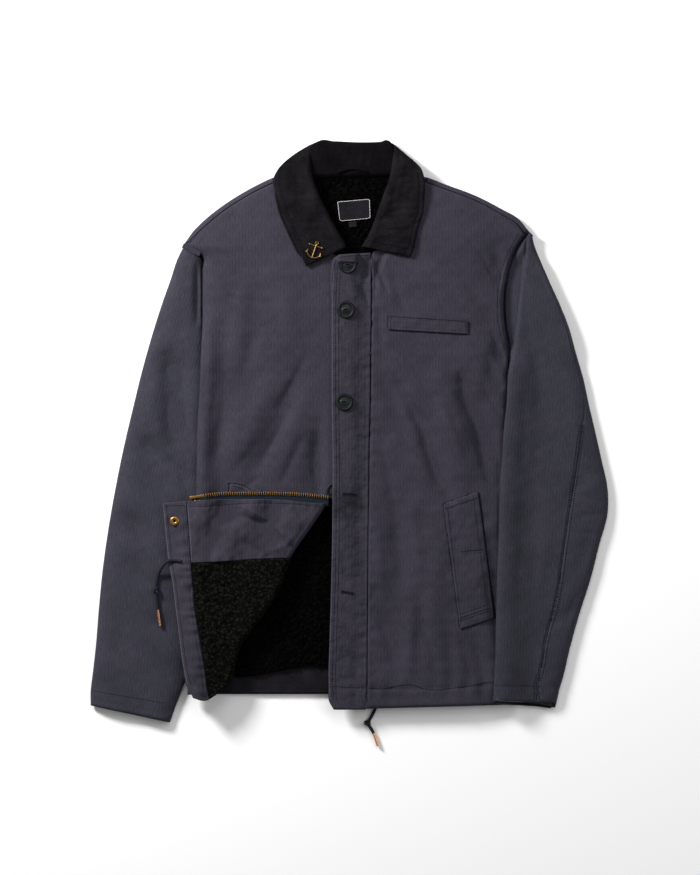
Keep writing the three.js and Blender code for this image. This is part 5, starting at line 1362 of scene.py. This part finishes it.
allowances = [
    ("armhole_seam_left", "shell_cloth", shellCotton, 4, 0.9,
     [[245, 266.5], [233, 254], [224, 240], [217, 224], [211.5, 204], [209, 182], [209, 160], [211, 140],
      [215, 118], [216, 100], [215, 84], [213, 66]]),
    ("armhole_seam_right", "shell_cloth", shellCotton, 3.2, 1.2,
     [[-225, 250.5], [-213, 244], [-203, 236], [-199, 226], [-198.6, 200], [-198.6, 150], [-200, 116]]),
    ("cap_seam_right", "shell_cloth", shellCotton, 4.5, 11, [[-223, 250.8], [-213, 245.6], [-200.6, 239]]),
    # the neck seam allowance wears the darker felt copy, painted shade
    ("neck_seam", "collar_felt", shadedFelt, 3.5, 6.2,
     [[-70, 341.5], [-30, 342.6], [10, 343], [50, 343], [80, 343]])]
for name, slot, material, reach, level, line in allowances:
    clothPiece(name, [allowanceWall(line, reach, level)], slot, material, stands=False)
print("stage: small cloth pieces cut")


# Sewing: every stitch is a small rounded thread laid on the finished cloth below it. The same rounded strands
# also lay painted shade in seams, slits and grooves and painted highlights along edges.

def topOf(*cloths):
    trees = [BVHTree.FromPolygons([v.co for v in cloth.data.vertices],
                                  [tuple(f.vertices) for f in cloth.data.polygons]) for cloth in cloths]

    def height(x, y):
        start = Vector(toFrame([(x, y, 90)])[0].tolist())
        spots = [tree.ray_cast(start, Vector((0, 0, -1)))[0] for tree in trees]
        found = [spot.z * 1000 for spot in spots if spot]
        return max(found) if found else None
    return height


def resample(points, pitch, smooth):
    p = np.array(points, float)
    if smooth and len(p) > 2:
        x, y = along(points)(np.linspace(0, 1, 40 * len(p)))
        p = np.stack([x, y], -1)
    run = np.concatenate([[0], np.cumsum(np.hypot(np.diff(p[:, 0]), np.diff(p[:, 1])))])
    count = max(1, int(round(run[-1] / pitch)))
    at = np.linspace(0, run[-1], count + 1)
    return lambda s: np.array([np.interp(s, run, p[:, 0]), np.interp(s, run, p[:, 1])]), at


stitch = {"pitch": 3.3, "share": 0.74, "wide": 0.9, "sink": 0.05, "seamPitch": 4.0, "seamWide": 1.2}


def sewRow(points, height, pitch=stitch["pitch"], share=stitch["share"], wide=stitch["wide"], smooth=True,
           sink=stitch["sink"]):
    spot, at = resample(points, pitch, smooth)
    out = []
    for a, b in zip(at[:-1], at[1:]):
        half = (b - a) * share / 2
        ends = [spot((a + b) / 2 - half), spot((a + b) / 2 + half)]
        levels = [height(*e) for e in ends]
        if None in levels or abs(levels[0] - levels[1]) > 2.5:
            continue
        first, last = ((*end, level - sink + wide * 0.2) for end, level in zip(ends, levels))
        out.append([first, last, wide])
    return out


def seamRow(points, height, wide=stitch["seamWide"], smooth=True):
    # a row with no gaps between its turns, sunk a little into the cloth; dark yarn makes it painted shade
    # along a seam, pale yarn a painted highlight along an edge, white yarn the label's woven border
    return sewRow(points, height, stitch["seamPitch"], 1.12, wide, smooth, wide * 0.25)


def shifted(points, by):
    p = np.array(points, float)
    d = np.gradient(p, axis=0)
    n = np.stack([d[:, 1], -d[:, 0]], -1) / np.hypot(d[:, 0], d[:, 1])[:, None]
    return (p + n * by).tolist()


def sewn(name, stitches, yarn, slot):
    points, faces = [], []
    turns = np.radians(np.arange(5) * 72)
    for start, end, wide in stitches:
        a, b = np.array(start), np.array(end)
        run = (b - a) / np.linalg.norm(b - a)
        side = np.cross(run, (0, 0, 1))
        side = side / np.linalg.norm(side)
        up = np.cross(side, run)
        first = len(points)
        for share, size in ((0, 0.5), (0.22, 1), (0.78, 1), (1, 0.5)):
            for turn in turns:
                rim = side * math.cos(turn) + up * 0.65 * math.sin(turn)
                middle = a + (b - a) * share + up * 0.1 * math.sin(math.pi * share)
                points.append(middle + rim * wide / 2 * size)
        for ring in range(3):
            for k in range(5):
                p, q = first + ring * 5 + k, first + ring * 5 + (k + 1) % 5
                faces.append((p, p + 5, q + 5, q))
        faces.append(tuple(range(first, first + 5)))
        faces.append(tuple(range(first + 19, first + 14, -1)))
    mesh = bpy.data.meshes.new(name)
    mesh.from_pydata(toFrame(points).tolist(), [], faces)
    mesh.update()
    finishPiece(put(name, mesh), None, slot, yarn)


onFrontLeft = topOf(frontLeft)
onFronts = topOf(frontLeft, frontRight)
onPlacket = topOf(placketPiece)
onWelts = topOf(frontLeft, chestWeltPiece, sideWeltPiece)
onWeltRight = topOf(frontRight, peekWelt)
onSleeves = topOf(sleeveLeftUpper, sleeveLeftUnder, sleeveRightUpper)
onCuffUnder = topOf(sleeveLeftUnder)
onCorner = topOf(facingPiece, cornerHem, turnedShell)
onCollar = topOf(leafRight, leafLeft, collarBack)
armholeSeam = [[236, 262], [232.9, 257], [218.6, 229.5], [211.3, 205.2], [207.8, 171.5], [209.9, 140.4],
        [217.4, 111.2]]
elbowLine = [[312.5, 8.1], [303.1, -62.1], [295.9, -112.1], [288.2, -166.1], [277.8, -233.6], [265, -279.5],
        [257.2, -324], [251.8, -338.9], [251.8, -362]]
hemSeam = [[22.3, -345.6], [47.9, -346.3], [68.2, -342.2], [84.4, -341.6], [100.6, -347], [116.8, -348.3],
        [135.7, -346.3], [162.7, -342.9], [192.4, -337.5], [206, -337]]
placketLeft = [[-21.5, 222], [-24, 163], [-24, 96], [-24, 42], [-23, -26], [-23, -89], [-23.5, -147],
        [-25, -217], [-27, -285], [-28, -344], [-26.5, -362]]


sewn("front_stitches", sewRow(shifted(armholeSeam, 4.2), onFrontLeft)
     + sewRow(shifted(armholeSeam, 9), onFrontLeft) + sewRow(shifted(hemSeam, 0), onFrontLeft)
     + sewRow(closed(inset(chestWelt, 3.4)), onWelts, smooth=False)
     + sewRow([[129, -104], [174, -88]], onWelts) + sewRow([[132, -106], [150, -257]], onWelts)
     + sewRow([[166, -86], [186, -244]], onWelts) + sewRow([[148, -255], [190, -241]], onWelts)
     + sewRow([[147, -247], [187, -233]], onWelts)
     + sewRow([[-216, 252], [-190, 281], [-147, 312], [-97, 337]], onFronts)
     + sewRow([[234, 266], [198, 296], [124, 329], [99, 337]], onFronts)
     + seamRow([[x + 0.6, y] for x, y in placketSeamPoints], onFronts, 0.8), navyThread, "shell_cloth")
# painted shade: dark strands in the armhole, welt, pocket and hem seams
sewn("front_seam_shade", seamRow(armholeSeam, onFronts, 1.6) + seamRow(chestWelt[:2], onWelts, 1.8)
     + seamRow(chestWelt[1:] + [chestWelt[0]], onWelts, 1.3, False)
     + seamRow(closed(sideWelt), onWelts, 1.7, False) + seamRow([[174, -84], [196, -252]], onWelts, 2.8)
     + seamRow([[128, -106], [174, -90]], onWelts, 0.8) + seamRow([[147, -252], [189, -238]], onWelts, 1.0)
     + seamRow([[149.2, -162], [180.2, -159.3]], onWelts, 0.8)
     + seamRow(hemSeam, onFrontLeft, 0.9) + seamRow([[-162.7, -82], [-163.4, -70.2]], onWeltRight, 1.3)
     + seamRow([[-163.4, -70.2], [-149.2, -71.4], [-131.6, -79]], onWeltRight, 1.3)
     + seamRow([[-160, -74], [-148, -76], [-138, -82]], onWeltRight, 0.8), seamShadeYarn, "shell_cloth")
sewn("placket_stitches", sewRow(shifted(placketLeft, -5.2), onPlacket)
     + sewRow(shifted(placketLeft, -9.4), onPlacket)
     + sewRow([[-20.9, 217.4], [-18.2, 228.2], [-11.5, 232.9], [3.4, 235.6], [25, 236.3]], onPlacket)
     + sewRow([[-25, -343], [-4, -344.5], [21, -345.6]], onPlacket), navyThread, "shell_cloth")
# painted highlight along the placket's rolled edge
sewn("placket_edge_highlight", seamRow(shifted(placketLeft, -1.0), onPlacket, 0.8), paintedEdgeHighlight, "shell_cloth")
sewn("sleeve_stitches", sewRow(shifted(elbowLine, 3.2), onSleeves, 3.6, 0.66, 1.3)
     + sewRow(shifted(elbowLine, -3.2), onSleeves, 3.6, 0.66, 1.3)
     + sewRow([[-221, 246.5], [-198.6, 236.5]], onSleeves) + sewRow([[-219, 242], [-198, 232]], onSleeves)
     + sewRow([[195, -342], [225, -342.5], [257, -344]], onSleeves)
     + sewRow([[-347, -349.7], [-300, -357.5], [-250, -366]], onSleeves), navyThread, "sleeve_cloth")
# painted shade along the elbow seam and in the cuff's slit
sewn("sleeve_seam_shade", seamRow(elbowLine, onSleeves, 0.7)
     + seamRow([[193.5, -362.5], [220, -366], [250, -369.4], [272, -372.5]], onCuffUnder, 3.4),
     seamShadeYarn, "sleeve_cloth")
# painted highlight along both cuff edges
sewn("cuff_edge_highlight", seamRow([[193, -359.5], [200, -361.5], [230, -364.6], [262, -367.4]], onSleeves, 1.0)
     + seamRow([[194, -366.5], [222, -370.5], [250, -374], [270, -376.5]], onCuffUnder, 0.9),
     paintedEdgeHighlight, "sleeve_cloth")
topRow = [[-246, -100.5], [-222, -100]]
facingRow = [[-215.3, -101.9], [-195.1, -101.2], [-154.6, -97.9], [-108.7, -96.5], [-66.8, -98.6],
             [-32, -102.6]]
stripSeam = [[-219, -99], [-216, -134], [-213, -176], [-209.5, -206], [-206, -240], [-201, -269],
             [-197, -294],
        [-193, -318], [-190, -336]]
stripEdge = [[-250.5, -99], [-247, -134], [-243, -171], [-237, -206], [-233, -239], [-229, -269],
             [-226, -294],
        [-222, -320], [-217, -341]]
sewn("corner_stitches", sewRow(topRow, onCorner) + sewRow(facingRow, onCorner)
     + sewRow(shifted(stripSeam, 2.6), onCorner) + sewRow(shifted(stripEdge, -4), onCorner),
     navyThread, "facing_cloth")
# painted shade along the hem strip's seam
sewn("corner_seam_shade", seamRow(stripSeam, onCorner, 1.4), seamShadeYarn, "facing_cloth")
# painted highlight along both edges of the hem strip
sewn("corner_edge_highlight", seamRow(shifted(stripEdge, -0.4), onCorner, 1.2)
     + seamRow(shifted(stripSeam, -2.0), onCorner, 0.9), paintedEdgeHighlight, "facing_cloth")


def leafLine(rows, by, lo, hi):
    xi, yi, xo, yo = rows(np.linspace(lo, hi, 16))[:4]
    width = np.hypot(xo - xi, yo - yi)
    k = (width - by) / width
    return np.stack([mix(xi, xo, k), mix(yi, yo, k)], -1).tolist()


leafEdgeRight, leafEdgeLeft = leafLine(leafRightRows, 8, 0.12, 0.95), leafLine(leafLeftRows, 8, 0.12, 0.95)
sewn("collar_stitches", sewRow(leafEdgeRight, onCollar) + sewRow(leafEdgeLeft, onCollar)
     + sewRow([leafEdgeRight[-1], [-8, 256]], onCollar) + sewRow([leafEdgeLeft[-1], [21, 257]], onCollar),
     blackThreadAndHoleShade, "collar_felt")
onLabel = topOf(labelPiece)
sewn("label_border", seamRow(closed(inset(labelCorners, 1.3)), onLabel, 0.7, False),
     borderThread, "label_cloth")


def buttonhole(a, b, height):
    # tight cross stitches on both lips of the slit
    a, b = np.array(a, float), np.array(b, float)
    length = np.hypot(*(b - a))
    run = (b - a) / length
    side = np.array([run[1], -run[0]])
    out = []
    for s in np.arange(0, length, 1.05):
        for way in (-1, 1):
            ends = [a + run * s + side * way * 0.45, a + run * (s + 0.25) + side * way * 2.1]
            levels = [height(*e) for e in ends]
            out.append([(*ends[0], levels[0] + 0.15), (*ends[1], levels[1] + 0.15), 0.95])
    return out


holes = [((-14.2, 226.1), (11.5, 225.2)), ((-9.5, -84.4), (9.5, -86.4)), ((-11.5, -216), (6, -218.7))]
sewn("buttonhole_stitches", [one for a, b in holes for one in buttonhole(a, b, onPlacket)],
     navyThread, "cord")
# painted shade in the buttonhole slits
sewn("buttonhole_slit_shade", [one for a, b in holes for one in seamRow([a, b], onPlacket, 1.0)],
     seamShadeYarn, "cord")
print("stage: sewn")

# Buttons, modelled once at the origin and copied
button = {"radius": 11.1, "depth": 4.6, "rim": 2.0, "slope": 0.7, "dish": 1.3, "floorRing": 2.2, "step": 0.8,
          "stepRise": 0.3, "boss": (6.0, 3.9, 1.35), "slot": (3.7, 1.15, 1.6), "sides": 64,
          "groove": 8.7, "bed": 11.6, "throughHole": (-2.2, 223.3, 0)}


def pickFaces(obj, test):
    bpy.ops.object.mode_set(mode="EDIT")
    bpy.ops.mesh.select_mode(type="FACE")
    bpy.ops.mesh.select_all(action="DESELECT")
    draft = bmesh.from_edit_mesh(obj.data)
    for face in draft.faces:
        face.select = bool(test(face))
    bmesh.update_edit_mesh(obj.data)


def choose(*parts):
    bpy.ops.object.select_all(action="DESELECT")
    for part in parts:
        part.select_set(True)
    bpy.context.view_layer.objects.active = parts[0]


addCube, addBall = bpy.ops.mesh.primitive_cube_add, bpy.ops.mesh.primitive_uv_sphere_add
addRod, addCone = bpy.ops.mesh.primitive_cylinder_add, bpy.ops.mesh.primitive_cone_add
addRing = bpy.ops.mesh.primitive_torus_add


def primitive(add, **measures):
    bpy.ops.object.select_all(action="DESELECT")
    add(**measures)
    return bpy.context.active_object


def copied(name, mesh, matrix):
    mesh = mesh.copy()
    mesh.transform(matrix)
    return put(name, mesh)


def moveTo(point):
    return Matrix.Translation(Vector(tuple(point)))


def spin(degrees, axis):
    return Matrix.Rotation(math.radians(degrees), 4, axis)


def applyAll(obj):
    choose(obj)
    bpy.ops.object.transform_apply(location=True, rotation=True, scale=True)
    for modifier in list(obj.modifiers):
        bpy.ops.object.modifier_apply(modifier=modifier.name)


def softEdges(obj, width, segments=2, degrees=30):
    bevel = obj.modifiers.new("edges", "BEVEL")
    bevel.width, bevel.segments, bevel.limit_method = width / 1000, segments, "ANGLE"
    bevel.angle_limit = math.radians(degrees)


def modelButton():
    b = button
    top = -b["dish"] / 1000
    obj = primitive(addRod, vertices=b["sides"], radius=b["radius"] / 1000, depth=b["depth"] / 1000,
                    location=(0, 0, -b["depth"] / 2000))
    pickFaces(obj, lambda f: f.normal.z > 0.9)
    bpy.ops.mesh.inset(thickness=b["rim"] / 1000)
    bpy.ops.mesh.inset(thickness=b["slope"] / 1000)
    bpy.ops.transform.translate(value=(0, 0, top))
    bpy.ops.mesh.inset(thickness=b["floorRing"] / 1000)
    bpy.ops.mesh.inset(thickness=b["step"] / 1000)
    bpy.ops.transform.translate(value=(0, 0, b["stepRise"] / 1000))
    bpy.ops.object.mode_set(mode="OBJECT")
    softEdges(obj, 0.7, 3, 25)
    applyAll(obj)
    # lens-shaped boss with the thread slot sunk in it
    boss = primitive(addBall, segments=32, ring_count=16, radius=0.001, location=(0, 0, top),
                     scale=b["boss"])
    applyAll(boss)
    slotCut = primitive(addBall, segments=24, ring_count=12, radius=0.001, location=(0, 0, -0.0001),
                        scale=b["slot"])
    applyAll(slotCut)
    for target in (boss, obj):
        cut = target.modifiers.new("slot", "BOOLEAN")
        cut.operation, cut.object = "DIFFERENCE", slotCut
        applyAll(target)
    bpy.data.objects.remove(slotCut)
    choose(obj, boss)
    bpy.ops.object.join()
    bpy.ops.object.shade_smooth_by_angle(angle=math.radians(35))
    return obj


def ringAt(x, y, radius, start=0):
    turns = np.radians(np.linspace(start, 360, 40))
    return np.stack([x + radius * np.cos(turns), y + radius * np.sin(turns)], -1).tolist()


buttonSpots, hornButtons = [], []
firstButton = modelButton()
for name, turn, tilt in (("button_1", -8, 3.5), ("button_2", 12, 0), ("button_3", -6, 0),
                         ("button_4", 60, 0)):
    low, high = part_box(name)
    middle = ((low.x + high.x) / 2, (low.y + high.y) / 2, high.z)
    if name == "button_1":
        # it sits half way through its hole, its upper half under the cloth
        middle = (*toFrame([button["throughHole"]])[0][:2], high.z)
    copy = copied(name + "_horn", firstButton.data, moveTo(middle) @ spin(tilt, "X") @ spin(turn, "Z"))
    copy.data.materials.clear()
    copy.data.materials.append(darkHorn)
    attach(copy, "root")
    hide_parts(name)
    hornButtons.append(copy)
    spot = np.array(middle[:2]) * 1000 - sheetShift[:2]
    buttonSpots.append((spot[0], spot[1], 180 if name == "button_1" else 0))
bpy.data.objects.remove(firstButton)
onButtons = topOf(*hornButtons)


def rings(spots, radius, height):
    return [one for x, y, start in spots for one in seamRow(ringAt(x, y, radius, start), height, 1.2)]


# painted shade: a dark ring in the turned groove inside each rim, and a painted shadow line where the button
# presses the cloth
sewn("button_groove_shade", rings(buttonSpots, button["groove"], onButtons), seamShadeYarn, "button_plastic")
sewn("button_bed_shadow", rings(buttonSpots[:3], button["bed"], onPlacket), seamShadeYarn, "shell_cloth")
print("stage: buttons on")

# Zip: one tooth, copied along the tape; stop bar and two rivets at its start
zipParts = {"pitch": 2.97, "tooth": (1.1, 4.6, 2.0), "from": -192.5, "to": -27.5, "bar": (19.5, 3.6, 2.0),
            "barAt": (-204.5, -88.2), "barSlope": 0.165, "rivets": (-207.2, -201.2), "rivetRow": -93.6,
            "rivet": 1.3}


def boxAt(size, place, round, turn=0.0):
    obj = primitive(addCube, size=0.001, location=place, scale=size, rotation=(0, 0, turn))
    bpy.ops.object.transform_apply(location=False, rotation=False, scale=True)
    softEdges(obj, round)
    applyAll(obj)
    return obj


def joined(name, parts, node, slot, material, degrees=40):
    choose(*parts)
    if len(parts) > 1:
        bpy.ops.object.join()
    obj = bpy.context.active_object
    bpy.ops.object.transform_apply(location=True, rotation=True, scale=True)
    obj.name = name
    finishPiece(obj, node, slot, material)
    bpy.ops.object.shade_smooth_by_angle(angle=math.radians(degrees))


def cornerLevel(x, y):
    return float(cornerFloor(np.array(float(x)), np.array(float(y))))


def onTape(x, y, above):
    return tuple(toFrame([(x, y, cornerLevel(x, y) + cornerLayer + 0.85 + above)])[0])


def modelTeeth():
    z = zipParts
    tooth = boxAt(z["tooth"], (0, 0, 0), 0.35)
    teeth = []
    for k in range(int((z["to"] - z["from"]) / z["pitch"]) + 1):
        x = z["from"] + k * z["pitch"]
        slope = math.atan(float(zipLine(x + 1) - zipLine(x - 1)) / 2)
        place = onTape(x, float(zipLine(x)), 0.6)
        teeth.append(copied("tooth", tooth.data, moveTo(place) @ Matrix.Rotation(slope, 4, "Z")))
    bpy.data.objects.remove(tooth)
    return teeth


joined("zip_teeth_brass", modelTeeth(), "zip_teeth_right", "brass", antiqueBrass)
zipPinParts = [boxAt(zipParts["bar"], onTape(*zipParts["barAt"], 0.7), 0.5, math.atan(zipParts["barSlope"]))]
for x in zipParts["rivets"]:
    zipPinParts.append(primitive(addBall, segments=16, ring_count=8, radius=zipParts["rivet"] / 1000,
                                 location=onTape(x, zipParts["rivetRow"], 0.2)))
joined("zip_pin_brass", zipPinParts, "zip_pin_right", "brass", antiqueBrass)

# Eyelet: rolled washer round its hole, with a black disc in the hole as painted shade
eyelet = {"ring": 3.9, "roll": 2.2, "hole": 2.7, "flat": 0.55}
eyeLow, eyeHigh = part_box("eyelet")
eyeX, eyeY = (eyeLow.x + eyeHigh.x) / 2, (eyeLow.y + eyeHigh.y) / 2
washer = primitive(addRing, major_segments=48, minor_segments=14, major_radius=eyelet["ring"] / 1000,
                   minor_radius=eyelet["roll"] / 1000, location=(eyeX, eyeY, eyeHigh.z - 0.0009))
washer.scale = (1, 1, eyelet["flat"])
joined("eyelet_brass", [washer], "eyelet", "brass", antiqueBrass, 60)
# painted shade: a thin black disc just under the washer fills the hole
hole = primitive(addRod, vertices=32, radius=eyelet["hole"] / 1000, depth=0.0004,
                 location=(eyeX, eyeY, eyeHigh.z - 0.0007))
joined("eyelet_hole", [hole], None, "facing_cloth", blackThreadAndHoleShade)

# Collar pin: a plain anchor of thin rod, built upright and leaned over
anchor = {"rod": 0.75, "shank": 19.0, "stock": 17.5, "stockAt": 0.86, "arm": 9.8, "openFrom": 0.62,
          "knob": 1.3, "fluke": (2.1, 0.2, 5.2), "flukeAt": (9.3, 7.0), "ring": 1.9,
          "ringRod": 0.6, "lean": -19, "foot": (-50.3, 232.9)}


def modelAnchor():
    n = anchor
    mm = {key: value / 1000 for key, value in n.items() if isinstance(value, float)}
    arms = primitive(addRing, major_segments=56, minor_segments=10, major_radius=mm["arm"],
                     minor_radius=mm["rod"], location=(0, mm["arm"], 0))
    applyAll(arms)
    pickFaces(arms, lambda f: f.calc_center_median().y > mm["arm"] * n["openFrom"])
    bpy.ops.mesh.delete(type="FACE")
    bpy.ops.object.mode_set(mode="OBJECT")
    stockY = mm["shank"] * n["stockAt"]
    parts = [arms, primitive(addRod, vertices=16, radius=mm["rod"] * 1.15, depth=mm["shank"],
                             location=(0, mm["shank"] / 2, 0), rotation=(math.pi / 2, 0, 0)),
             primitive(addRod, vertices=16, radius=mm["rod"] * 0.95, depth=mm["stock"],
                       location=(0, stockY, 0), rotation=(0, math.pi / 2, 0))]
    wide, tip, tall = (value / 1000 for value in n["fluke"])
    for way in (-1, 1):
        parts.append(primitive(addBall, segments=14, ring_count=8, radius=mm["knob"],
                               location=(way * mm["stock"] / 2, stockY, 0)))
        parts.append(primitive(addCone, vertices=12, radius1=wide, radius2=tip, depth=tall,
                               location=(way * n["flukeAt"][0] / 1000, n["flukeAt"][1] / 1000, 0),
                               rotation=(-math.pi / 2, 0, way * 0.25)))
    parts.append(primitive(addRing, major_segments=28, minor_segments=8, major_radius=mm["ring"],
                           minor_radius=mm["ringRod"], location=(0, mm["shank"] + 0.0015, 0)))
    choose(*parts)
    bpy.ops.object.join()
    bpy.ops.object.transform_apply(location=True, rotation=True, scale=True)
    z = max(onCollar(-50, 236), onCollar(-44, 250), onCollar(-56, 240), onCollar(-40, 247)) + 0.9
    arms.data.transform(moveTo(toFrame([(*n["foot"], z)])[0]) @ spin(n["lean"], "Z"))
    return arms


joined("anchor_pin_brass", [modelAnchor()], "anchor_pin", "brass", darkBrass, 50)
print("stage: hard parts fitted")

# Hem drawcord ends
drawcord = {"diameter": 4.2, "knotRadius": 1.75}


def catmull(points, steps):
    # a smooth line through the points, as the frame's cords have it
    p = [Vector(q) for q in points]
    p = [p[0] * 2 - p[1]] + p + [p[-1] * 2 - p[-2]]
    out = []
    for i in range(1, len(p) - 2):
        for k in range(steps):
            t = k / steps
            a, b, c, d = p[i - 1], p[i], p[i + 1], p[i + 2]
            out.append(0.5 * ((2 * b) + (c - a) * t + (2 * a - 5 * b + 4 * c - d) * t * t
                              + (3 * b - a - 3 * c + d) * t ** 3))
    return [tuple(q) for q in out] + [tuple(p[-2])]


def sleeveFace(x, y):
    return float(sleeve["bulk"] + folds(sleeveFolds, np.array(x), np.array(y)))


def onSleeve(x, y, r):
    return (x, y, sleeveFace(x, y) + r + 0.5)


cordRadius = drawcord["diameter"] / 2
cordRightPath = [
    (-226, -175, cornerLevel(-226, -175) + cornerLayer + 2.8 + cordRadius),
    (-235, -173.5, cornerLevel(-235, -174) + cornerLayer + 2.8 + cordRadius),
    (-244, -175, cornerLevel(-244, -175) + cornerLayer + 2.6 + cordRadius),
    (-252, -183, cornerLevel(-248, -183) + 3 + cordRadius),
    onSleeve(-258, -196, cordRadius), onSleeve(-260.5, -209.4, cordRadius),
    onSleeve(-260.7, -215, cordRadius + 0.6), onSleeve(-260.5, -220.2, cordRadius),
    onSleeve(-259, -230, cordRadius), onSleeve(-258, -241.5, cordRadius)]
cordLeftPath = [
    (37, -343, 7.7), (37, -355, 7.4), (36.4, -366, 3.6), (34.6, -375, 2.2), (30, -384.6, 2.1),
    (27.1, -389.3, 2.1), (24.6, -393.8, 2.9), (27, -398.3, 2.2), (30.4, -403.6, 2.2), (33, -408.6, 2.4)]


def ropeCurve(name, line, radius, closedLoop):
    curve = bpy.data.curves.new(name, "CURVE")
    curve.dimensions = "3D"
    spline = curve.splines.new("POLY")
    spline.points.add(len(line) - 1)
    for point, place in zip(spline.points, toFrame(line)):
        point.co = (*place, 1)
    spline.use_cyclic_u = closedLoop
    curve.bevel_depth = radius / 1000
    curve.bevel_resolution = 4
    curve.use_fill_caps = not closedLoop
    curve.materials.append(darkCord)
    obj = put(name, curve)
    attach(obj, "root")
    return obj


def cordCurve(name, path):
    line = catmull(path, 4)
    run = sum(math.dist(a, b) for a, b in zip(line[:-1], line[1:])) / 1000
    return ropeCurve(name, line, cordRadius, False), run, tuple(toFrame([line[0]])[0])


cordRight, cordRightRun, cordRightExit = cordCurve("drawcord_right_run", cordRightPath)
cordLeft, cordLeftRun, cordLeftExit = cordCurve("drawcord_left_run", cordLeftPath)
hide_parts("drawcord_right", "tail_right")
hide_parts("drawcord_left", "tail_left")


def tieKnot(name, centre, turn):
    # an overhand knot: three crossing turns of the same cord, pulled tight
    c, s, line = math.cos(turn), math.sin(turn), []
    for t in np.arange(60) * 2 * math.pi / 60:
        x, y = 1.1 * (math.sin(t) + 2 * math.sin(2 * t)), 1.3 * (math.cos(t) - 2 * math.cos(2 * t))
        line.append((centre[0] + x * c - y * s, centre[1] + x * s + y * c, centre[2] - 1.5 * math.sin(3 * t)))
    return ropeCurve(name, line, drawcord["knotRadius"], True)


knotRight = tieKnot("knot_right_tied", (-260.6, -214.8, sleeveFace(-260.6, -215) + 3.8), 0.2)
knotLeft = tieKnot("knot_left_tied", (24.6, -393.8, 3.6), 0.5)
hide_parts("knot_right")
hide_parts("knot_left")
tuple(cordRightExit)
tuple(cordLeftExit)
print("stage: drawcord laid,", round(cordRightRun, 4), round(cordLeftRun, 4))

# Small parts that keep the frame's shape
for tip in ("tip_right", "tip_left"):
    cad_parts[tip].data.materials.clear()
    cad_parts[tip].data.materials.append(copperTip)

# How each cloth lies: the piece, its flat width and length in metres, and the pieces under it; the loop works
# out each cut area from the piece itself and uses it nowhere
sheets = [
    (backPiece, (0.47, 0.72), ["floor"]), (backPile, (0.43, 0.66), ["back"]),
    (backHem, (0.42, 0.05), ["lining_back"]),
    (frontLeft, (0.24, 0.73), ["lining_back"]), (frontRight, (0.25, 0.72), ["lining_back"]),
    (placketPiece, (0.056, 0.62), ["front_left", "front_right"]),
    (sleeveRightUpper, (0.16, 0.66), ["sleeve_right_under"]), (sleeveRightUnder, (0.16, 0.66), ["back"]),
    (sleeveLeftUpper, (0.16, 0.68), ["sleeve_left_under"]), (sleeveLeftUnder, (0.2, 0.68), ["front_left"]),
    (turnedShell, (0.26, 0.29), ["front_right"]), (facingPiece, (0.23, 0.09), ["front_right_turned"]),
    (cornerPile, (0.2, 0.21), ["front_right_turned"]), (cornerHem, (0.035, 0.27), ["front_right_turned"]),
    (zipTape, (0.015, 0.18), ["front_right_turned"]),
    (leafRight, (0.12, 0.2), ["front_right"]), (leafLeft, (0.12, 0.2), ["front_left"]),
    (collarBack, (0.11, 0.11), ["back"]), (underCollar, (0.0136, 0.13), ["front_right"]),
    (chestWeltPiece, (0.019, 0.109), ["front_left"]), (sideWeltPiece, (0.05, 0.174), ["front_left"]),
    (peekWelt, (0.022, 0.044), ["front_right"]), (labelPiece, (0.028, 0.046), ["lining_back"])]
for piece, flat, under in sheets:
    area = min(halfArea(piece), flat[0] * flat[1])
    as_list(under)

# Stage: pale floor, large soft lights, camera straight above
bpy.ops.mesh.primitive_plane_add(size=8, location=(0, 0, -0.0006))
floor = bpy.context.active_object
floor.name = "floor"
whitePaint = newMaterial("matWhiteFloor", 0.9)
whitePaint[2].inputs["Base Color"].default_value = tone("#ffffff")
floor.data.materials.append(whitePaint[0])


def softLight(name, place, size, power):
    light = bpy.data.lights.new(name, "AREA")
    light.shape = "DISK"
    light.size = size
    light.energy = power
    obj = put(name, light)
    obj.location = place
    obj.rotation_euler = (-Vector(place)).to_track_quat("-Z", "Y").to_euler()


# place, size, power; the key light is small and low, so that creases show
lights = {"keyLight": ((-1.4, 1.1, 0.9), 0.5, 66), "fillLight": ((1.9, 0.4, 1.8), 1.6, 16),
          "topLight": ((0.2, 1.6, 1.7), 1.4, 13), "roomGlow": 0.26}
for name in ("keyLight", "fillLight", "topLight"):
    softLight(name, *lights[name])
world = bpy.data.worlds.new("studio")
world.use_nodes = True
world.node_tree.nodes["Background"].inputs["Color"].default_value = (1, 1, 1, 1)
world.node_tree.nodes["Background"].inputs["Strength"].default_value = lights["roomGlow"]
bpy.context.scene.world = world
bpy.context.scene.view_settings.view_transform = "Standard"

# 1181 mm of table fill the picture's height; its middle is at sheet (0.7, -8.8)
camera = {"away": 5.0, "tall": 1.181, "middle": (0.7, -8.8), "sensor": 36}
lens = bpy.data.cameras.new("camera")
lens.sensor_width = camera["sensor"]
lens.lens = camera["sensor"] * camera["away"] / camera["tall"]
cameraObject = put("camera", lens)
middle = toFrame([(*camera["middle"], 0)])[0]
cameraObject.location = (middle[0], middle[1], camera["away"])
bpy.context.scene.camera = cameraObject
print("stage: lit")

bpy.context.view_layer.update()
